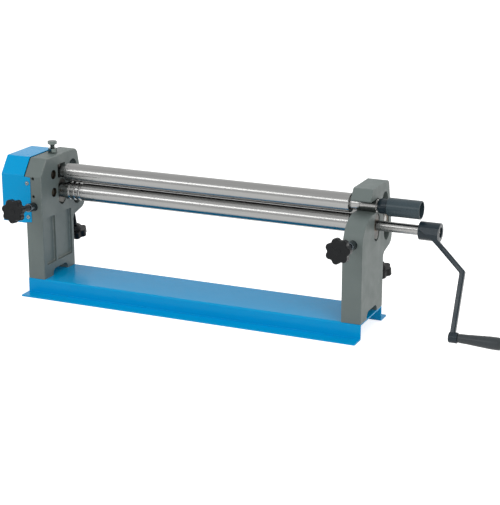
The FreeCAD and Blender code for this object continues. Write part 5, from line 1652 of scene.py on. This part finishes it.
@dataclass
class Crank:
    """Cranked bar between a hub on the shaft and a boss for the spinning grip."""

    throw: float = 193.5
    hub: float = 18.0
    bar_thick: float = 10.0
    bar_wide: float = 12.0
    bar_round: float = 2.4
    bar_drop: float = 5.0
    bend: Point = (551.3, 70.0)
    boss: tuple[float, float, float] = (545.0, 562.0, 10.5)
    boss_rim: float = 1.0
    bore: float = 10.0
    bore_sink: float = 0.8
    pin_bore: float = 4.0
    set_bore: tuple[float, float, float] = (5.0, 25.0, 4.0)
    set_screw: tuple[float, float, float] = (3.98, 7.0, 10.1)
    past: float = 3.0
    start: float = 457.0
    end: float = 498.0
    gusset_proud: float = 2.4
    gusset_inset: float = 0.5
    gusset_low: float = -31.0
    gusset_top: float = 3.0
    grip_profile: tuple[Point, ...] = (
        (562.5, 4.2), (562.5, 7.6), (563.1, 8.2), (567.5, 8.8), (580, 9.2), (601, 10.6), (624, 12.0),
        (637, 12.2), (641.5, 11.9), (643.6, 11.3), (645.0, 10.2), (645.5, 9.4), (645.5, 7.0), (643.2, 6.9),
        (643.2, 4.2), (562.5, 4.2))
    pin: float = 3.99
    pin_head: float = 6.5

    @property
    def place(self) -> Matrix:
        """Place of the crank, leaning to the front about the lower roll's axis."""
        axis = Box.of("lower_roll").centre
        return Matrix.Translation((0, axis.y, axis.z)) @ Matrix.Rotation(-CRANK_LEAN, 4, "X")

    def build(self) -> None:
        """Weld up the crank, then fit its grip, pin and set screw."""
        middle = (self.start + self.end) / 2
        low, high, radius = self.boss
        down = Matrix.Translation((0, 0, -self.throw))
        hub = Shape.turned([(self.start, 0), (self.start, self.hub - 1), (self.start + 0.3, self.hub - 0.3),
                            (self.start + 1, self.hub), (self.end - 1, self.hub),
                            (self.end - 0.3, self.hub - 0.3), (self.end, self.hub - 1), (self.end, 0)])
        boss = Shape.bar(low, high, radius, self.boss_rim, 64).moved(down)
        bore = Shape.countersunk(self.start - self.past, self.end, self.bore, self.bore_sink, 72)
        pin_bore = Shape.bar(low - self.past, high + self.past, self.pin_bore, steps=40).moved(down)
        set_hole = Shape.bar(*self.set_bore, steps=40).moved(placed((middle, 0, 0), (0, 1, 0)))
        crank = hub.united(self.bar(middle), boss).cut(bore, pin_bore, set_hole)
        crank.moved(self.place).piece("crank_arm", "lower_roll", CRANK_GREY, "crank")
        radius, length, back = self.set_screw
        grub = socket_screw(radius, length).moved(self.place @ placed((middle, back, 0), (0, 1, 0)))
        grub.piece("crank_grub_screw", "lower_roll", BLACKED, "crank_set_screw")
        self.build_grip()

    def bar(self, middle: float) -> Shape:
        """Flat bar that slopes out from the hub, bends and hangs straight, with its spread root.

        Args:
            middle: X of the hub's middle, where the bar's centre line starts.

        Returns:
            The bar and its gusset as one shape.
        """
        half, start_z = self.bar_thick / 2, -self.bar_drop
        x, drop = self.bend
        fall = math.atan((drop - self.bar_drop) / (x - middle))
        mitre = half * (1 - math.sin(fall)) / math.cos(fall)
        side = Vector((half * math.sin(fall), half * math.cos(fall)))
        outline = [(middle + side.x, start_z + side.y), (x + half, -drop + mitre), (x + half, -self.throw),
                   (x - half, -self.throw), (x - half, -drop - mitre), (middle - side.x, start_z - side.y)]
        bar = self.plate(outline, -self.bar_wide / 2, self.bar_wide / 2)
        return bar.soften(self.bar_round, 4, angle=25).united(self.gusset(middle, side, fall))

    def plate(self, outline: Sequence[Point], start: float, end: float) -> Shape:
        """Outline drawn in (X, Z) and raised along Y."""
        swap = Matrix(((0, 1, 0, 0), (1, 0, 0, 0), (0, 0, 1, 0), (0, 0, 0, 1)))
        return Shape.prism(outline, start, end).moved(swap).welded()

    def gusset(self, middle: float, side: Vector, fall: float) -> Shape:
        """Root of the bar, spread over the front of the hub down to the bar's own face.

        Args:
            middle: X at which the bar's centre line starts.
            side: From that line to the bar's upper edge, in (X, Z).
            fall: Slope of the bar.

        Returns:
            The closed gusset.
        """
        slope, inset, low, top = math.tan(fall), self.gusset_inset, self.gusset_low, self.gusset_top
        left, right, front = self.start + 5.0, self.end - 0.4, self.hub + self.gusset_proud
        origin = Vector((middle, -self.bar_drop))
        under, over = origin - side, origin + side

        def at_height(line: Vector, rise: float, shift: float) -> Point:
            """Point of the bar's edge through line at a height, shifted along X."""
            return (line.x + (line.y - rise) / slope + shift, rise)

        plan = [(left, top), (left, -2.0), at_height(under, -self.hub, inset), at_height(under, low, inset),
                at_height(over, low, -inset), (right, over.y - (right - over.x) * slope - inset),
                (right, top)]
        profile = [(0.0, top), (-front, top), (-front, -9.0), (0.8 - self.bar_wide / 2, low), (0.0, low)]
        root = Shape.prism(profile, self.start, self.end + 20.0)
        return root.boolean(self.plate(plan, -front - self.past, self.past), "INTERSECT")

    def build_grip(self) -> None:
        """Grip and the headed pin that it spins on."""
        box = Box.of("grip_pin")
        place = Matrix.Translation((0, box.centre.y, box.centre.z))
        grip = Shape.turned(self.grip_profile, 72).moved(place)
        grip.piece("grip", "grip", GRIP_BLACK, "crank_grip", crease=30)
        start, end, head = box.low.x, box.high.x, self.pin_head
        pin = [(start, 0), (start, self.pin - 0.59), (start + 0.6, self.pin), (end - 2.8, self.pin),
               (end - 2.8, head), (end - 0.8, head), (end - 0.2, head - 0.6), (end, head - 1.5), (end, 0)]
        Shape.turned(pin, 48).moved(place).piece("grip_rivet", "lower_roll", MACHINED_STEEL, "grip_pin")


@dataclass
class SwingHandle:
    """Hub and open tube by which the upper roll is swung out."""

    start: float = 373.5
    tube_start: float = 393.0
    hub: float = 15.0
    nose: Point = (8.0, 3.5)
    spigot: float = 20.0
    spigot_fit: float = 0.01
    tube: float = 18.0
    wall: float = 2.5
    bore: float = 10.01

    def build(self) -> None:
        """Rounded hub with its spigot, and the tube pushed over it."""
        axis = Box.of("upper_roll").centre
        place = Matrix.Translation((0, axis.y, axis.z))
        end = Box.of("handle_tube").high.x
        long, deep = self.nose
        nose = [(self.start + long * (1 - math.cos(t)), self.hub - deep * (1 - math.sin(t)))
                for t in (math.pi / 12 * part for part in range(7))]
        start, outer, inner = self.tube_start, self.tube, self.tube - self.wall
        tip, spigot = start + self.spigot, inner - self.spigot_fit
        hub = [(self.start, self.bore), *nose, (start, self.hub), (start, spigot), (tip, spigot),
               (tip, self.bore), (self.start, self.bore)]
        Shape.turned(hub).moved(place).piece("handle_boss", "upper_roll", CRANK_GREY, "handle_hub")
        wall = [(start, inner), (start, outer - 0.9), (start + 0.3, outer - 0.3), (start + 0.9, outer),
                (end - 0.8, outer), (end - 0.25, outer - 0.25), (end, outer - 0.8), (end, inner + 0.5),
                (end - 0.5, inner), (start, inner)]
        Shape.turned(wall).moved(place).piece("handle_sleeve", "upper_roll", TUBE_GREY, "handle_tube")


# ------------------------------------------------------------------ studio


@dataclass(frozen=True)
class Lamp:
    """Soft rectangular lamp aimed at the rolls."""

    name: str
    place: Corner
    size: Point
    power: float
    tint: Colour
    mirrored: bool = False
    aim: Corner = (0.0, 0.1, 0.18)

    def build(self) -> None:
        """Hang the lamp; polished metal shows it only if it is a mirrored one."""
        data = bpy.data.lights.new(self.name, "AREA")
        data.shape = "RECTANGLE"
        data.size, data.size_y = self.size
        data.energy = self.power
        data.color = self.tint
        lamp = bpy.data.objects.new(self.name, data)
        lamp.location = self.place
        lamp.visible_glossy = self.mirrored
        lamp.rotation_mode = "QUATERNION"
        lamp.rotation_quaternion = (Vector(self.aim) - Vector(self.place)).to_track_quat("-Z", "Y")
        bpy.context.scene.collection.objects.link(lamp)


@dataclass
class Studio:
    """Pale floor, soft light and the camera."""

    camera_place: Corner = (1.2320, -2.4601, 0.9614)
    yaw: float = math.radians(23.81)
    pitch: float = math.radians(16.72)
    lens: float = 103.31
    sensor: float = 36.0
    clip_end: float = 200.0
    floor: float = 40.0
    floor_gap: float = 0.0002
    floor_shade: float = 0.80
    ambient: float = 0.45
    glow: float = 0.72
    lamps: tuple[Lamp, ...] = (
        Lamp("key", (-2.2, -3.4, 3.6), (3.2, 2.4), 18.0, (0.80, 1.0, 1.05)),
        Lamp("fill", (3.3, -2.2, 2.1), (2.4, 2.4), 50.0, (1.03, 1.0, 0.95)),
        Lamp("overhead", (0.3, 0.6, 3.4), (3.0, 2.0), 33.0, (1.0, 1.0, 0.98)),
        Lamp("strip", (-1.55, -2.7, 2.0), (3.2, 0.50), 26.0, (1.0, 1.0, 1.0), mirrored=True),
    )

    def build(self) -> None:
        """Set up everything round the machine."""
        self.build_camera()
        self.build_floor()
        self.build_world()
        for lamp in self.lamps:
            lamp.build()
        bpy.context.scene.view_settings.view_transform = "Standard"

    def build_camera(self) -> None:
        """Camera at its place, looking down along its own axis."""
        data = bpy.data.cameras.new("camera")
        data.sensor_width, data.lens, data.clip_end = self.sensor, self.lens, self.clip_end
        camera = bpy.data.objects.new("camera", data)
        camera.location = self.camera_place
        level = math.cos(self.pitch)
        aim = Vector((-math.sin(self.yaw) * level, math.cos(self.yaw) * level, -math.sin(self.pitch)))
        camera.rotation_mode = "QUATERNION"
        camera.rotation_quaternion = aim.to_track_quat("-Z", "Y")
        bpy.context.scene.collection.objects.link(camera)
        bpy.context.scene.camera = camera

    def build_floor(self) -> None:
        """Plain floor, white to the camera and shaded under the machine; from below it is clear."""
        bm = bmesh.new()
        low = Matrix.Translation((0, 0, -self.floor_gap))
        bmesh.ops.create_grid(bm, x_segments=1, y_segments=1, size=self.floor, matrix=low)
        data = bpy.data.meshes.new("floor")
        bm.to_mesh(data)
        bm.free()
        material = bpy.data.materials.new("floor")
        material.use_nodes = True
        material.node_tree.nodes.clear()
        kit = Nodes(material.node_tree)
        matt = kit.add("BsdfDiffuse", {"Color": (self.floor_shade,) * 3 + (1.0,)})
        direct = self.seen_by(kit, "Camera", "Glossy")
        lift = kit.add("Math", {0: direct, 1: self.glow}, operation="MULTIPLY")
        glow = kit.add("Emission", {"Color": (1, 1, 1, 1), "Strength": lift.outputs[0]})
        both = kit.add("AddShader", {0: matt.outputs[0], 1: glow.outputs[0]})
        under = kit.add("NewGeometry").outputs["Backfacing"]
        clear = kit.add("BsdfTransparent").outputs[0]
        floor_skin = kit.add("MixShader", {0: under, 1: both.outputs[0], 2: clear})
        kit.add("OutputMaterial", {"Surface": floor_skin.outputs[0]})
        data.materials.append(material)
        floor = bpy.data.objects.new("floor", data)
        bpy.context.scene.collection.objects.link(floor)

    def build_world(self) -> None:
        """White surroundings for the eye and for reflections, softer as a light."""
        world = bpy.data.worlds.new("studio")
        bpy.context.scene.world = world
        world.use_nodes = True
        world.node_tree.nodes.clear()
        kit = Nodes(world.node_tree)
        direct = self.seen_by(kit, "Camera", "Glossy", "Transmission")
        strength = kit.ramp(direct, 0.0, 1.0, self.ambient, 1.0)
        light = kit.add("Background", {"Color": (1, 1, 1, 1), "Strength": strength})
        kit.add("OutputWorld", {"Surface": light.outputs[0]})

    def seen_by(self, kit: Nodes, *rays: str) -> bpy.types.NodeSocket:
        """Tell some kinds of ray from the rest.

        Args:
            kit: Node kit of the material or world.
            rays: Kinds of ray, such as Camera or Glossy.

        Returns:
            A socket that is 1 for these rays and 0 for others.
        """
        path = kit.add("LightPath").outputs
        found = path[f"Is {rays[0]} Ray"]
        for ray in rays[1:]:
            found = kit.add("Math", {0: found, 1: path[f"Is {ray} Ray"]}, operation="MAXIMUM").outputs[0]
        return found


# ------------------------------------------------------------------ the whole machine


# Turn of the front knobs at rest, left and right, in degrees.
KNOB_TURNS = (12.0, 21.0)


def dress_inner_parts() -> None:
    """Finish the gears and small parts that stay as the frame has them."""
    GEAR_STEEL.dress("lower_roll_gear", "upper_roll_gear", "lower_idler_gear", "upper_idler_gear")
    BRONZE.dress("lower_idler_bush", "upper_idler_bush")
    MACHINED_STEEL.dress("lower_gear_key", "upper_gear_key", "left_wedge_pin", "right_wedge_pin")
    BLACKED.dress("lower_gear_clip", "upper_gear_clip", "idler_clips")


def main() -> None:
    """Build every assembly in order."""
    logging.basicConfig(level=logging.INFO, format="%(name)s %(message)s")
    Studio().build()
    BaseChannel().build()
    for side in Side:
        SideFrame(side).build()
    GearCover().build()
    FootFasteners().build()
    PivotScrew().build()
    Rolls().build()
    Bearings().build()
    left, right = (FrontAdjuster(side, phase).build() for side, phase in zip(Side, KNOB_TURNS))
    left.joined(right).piece("sleeve_pair", "stand", SLEEVE_STEEL, "screw_sleeves")
    for side in Side:
        RearAdjuster(side).build()
    Crank().build()
    SwingHandle().build()
    dress_inner_parts()


if __name__ == "__main__":
    main()
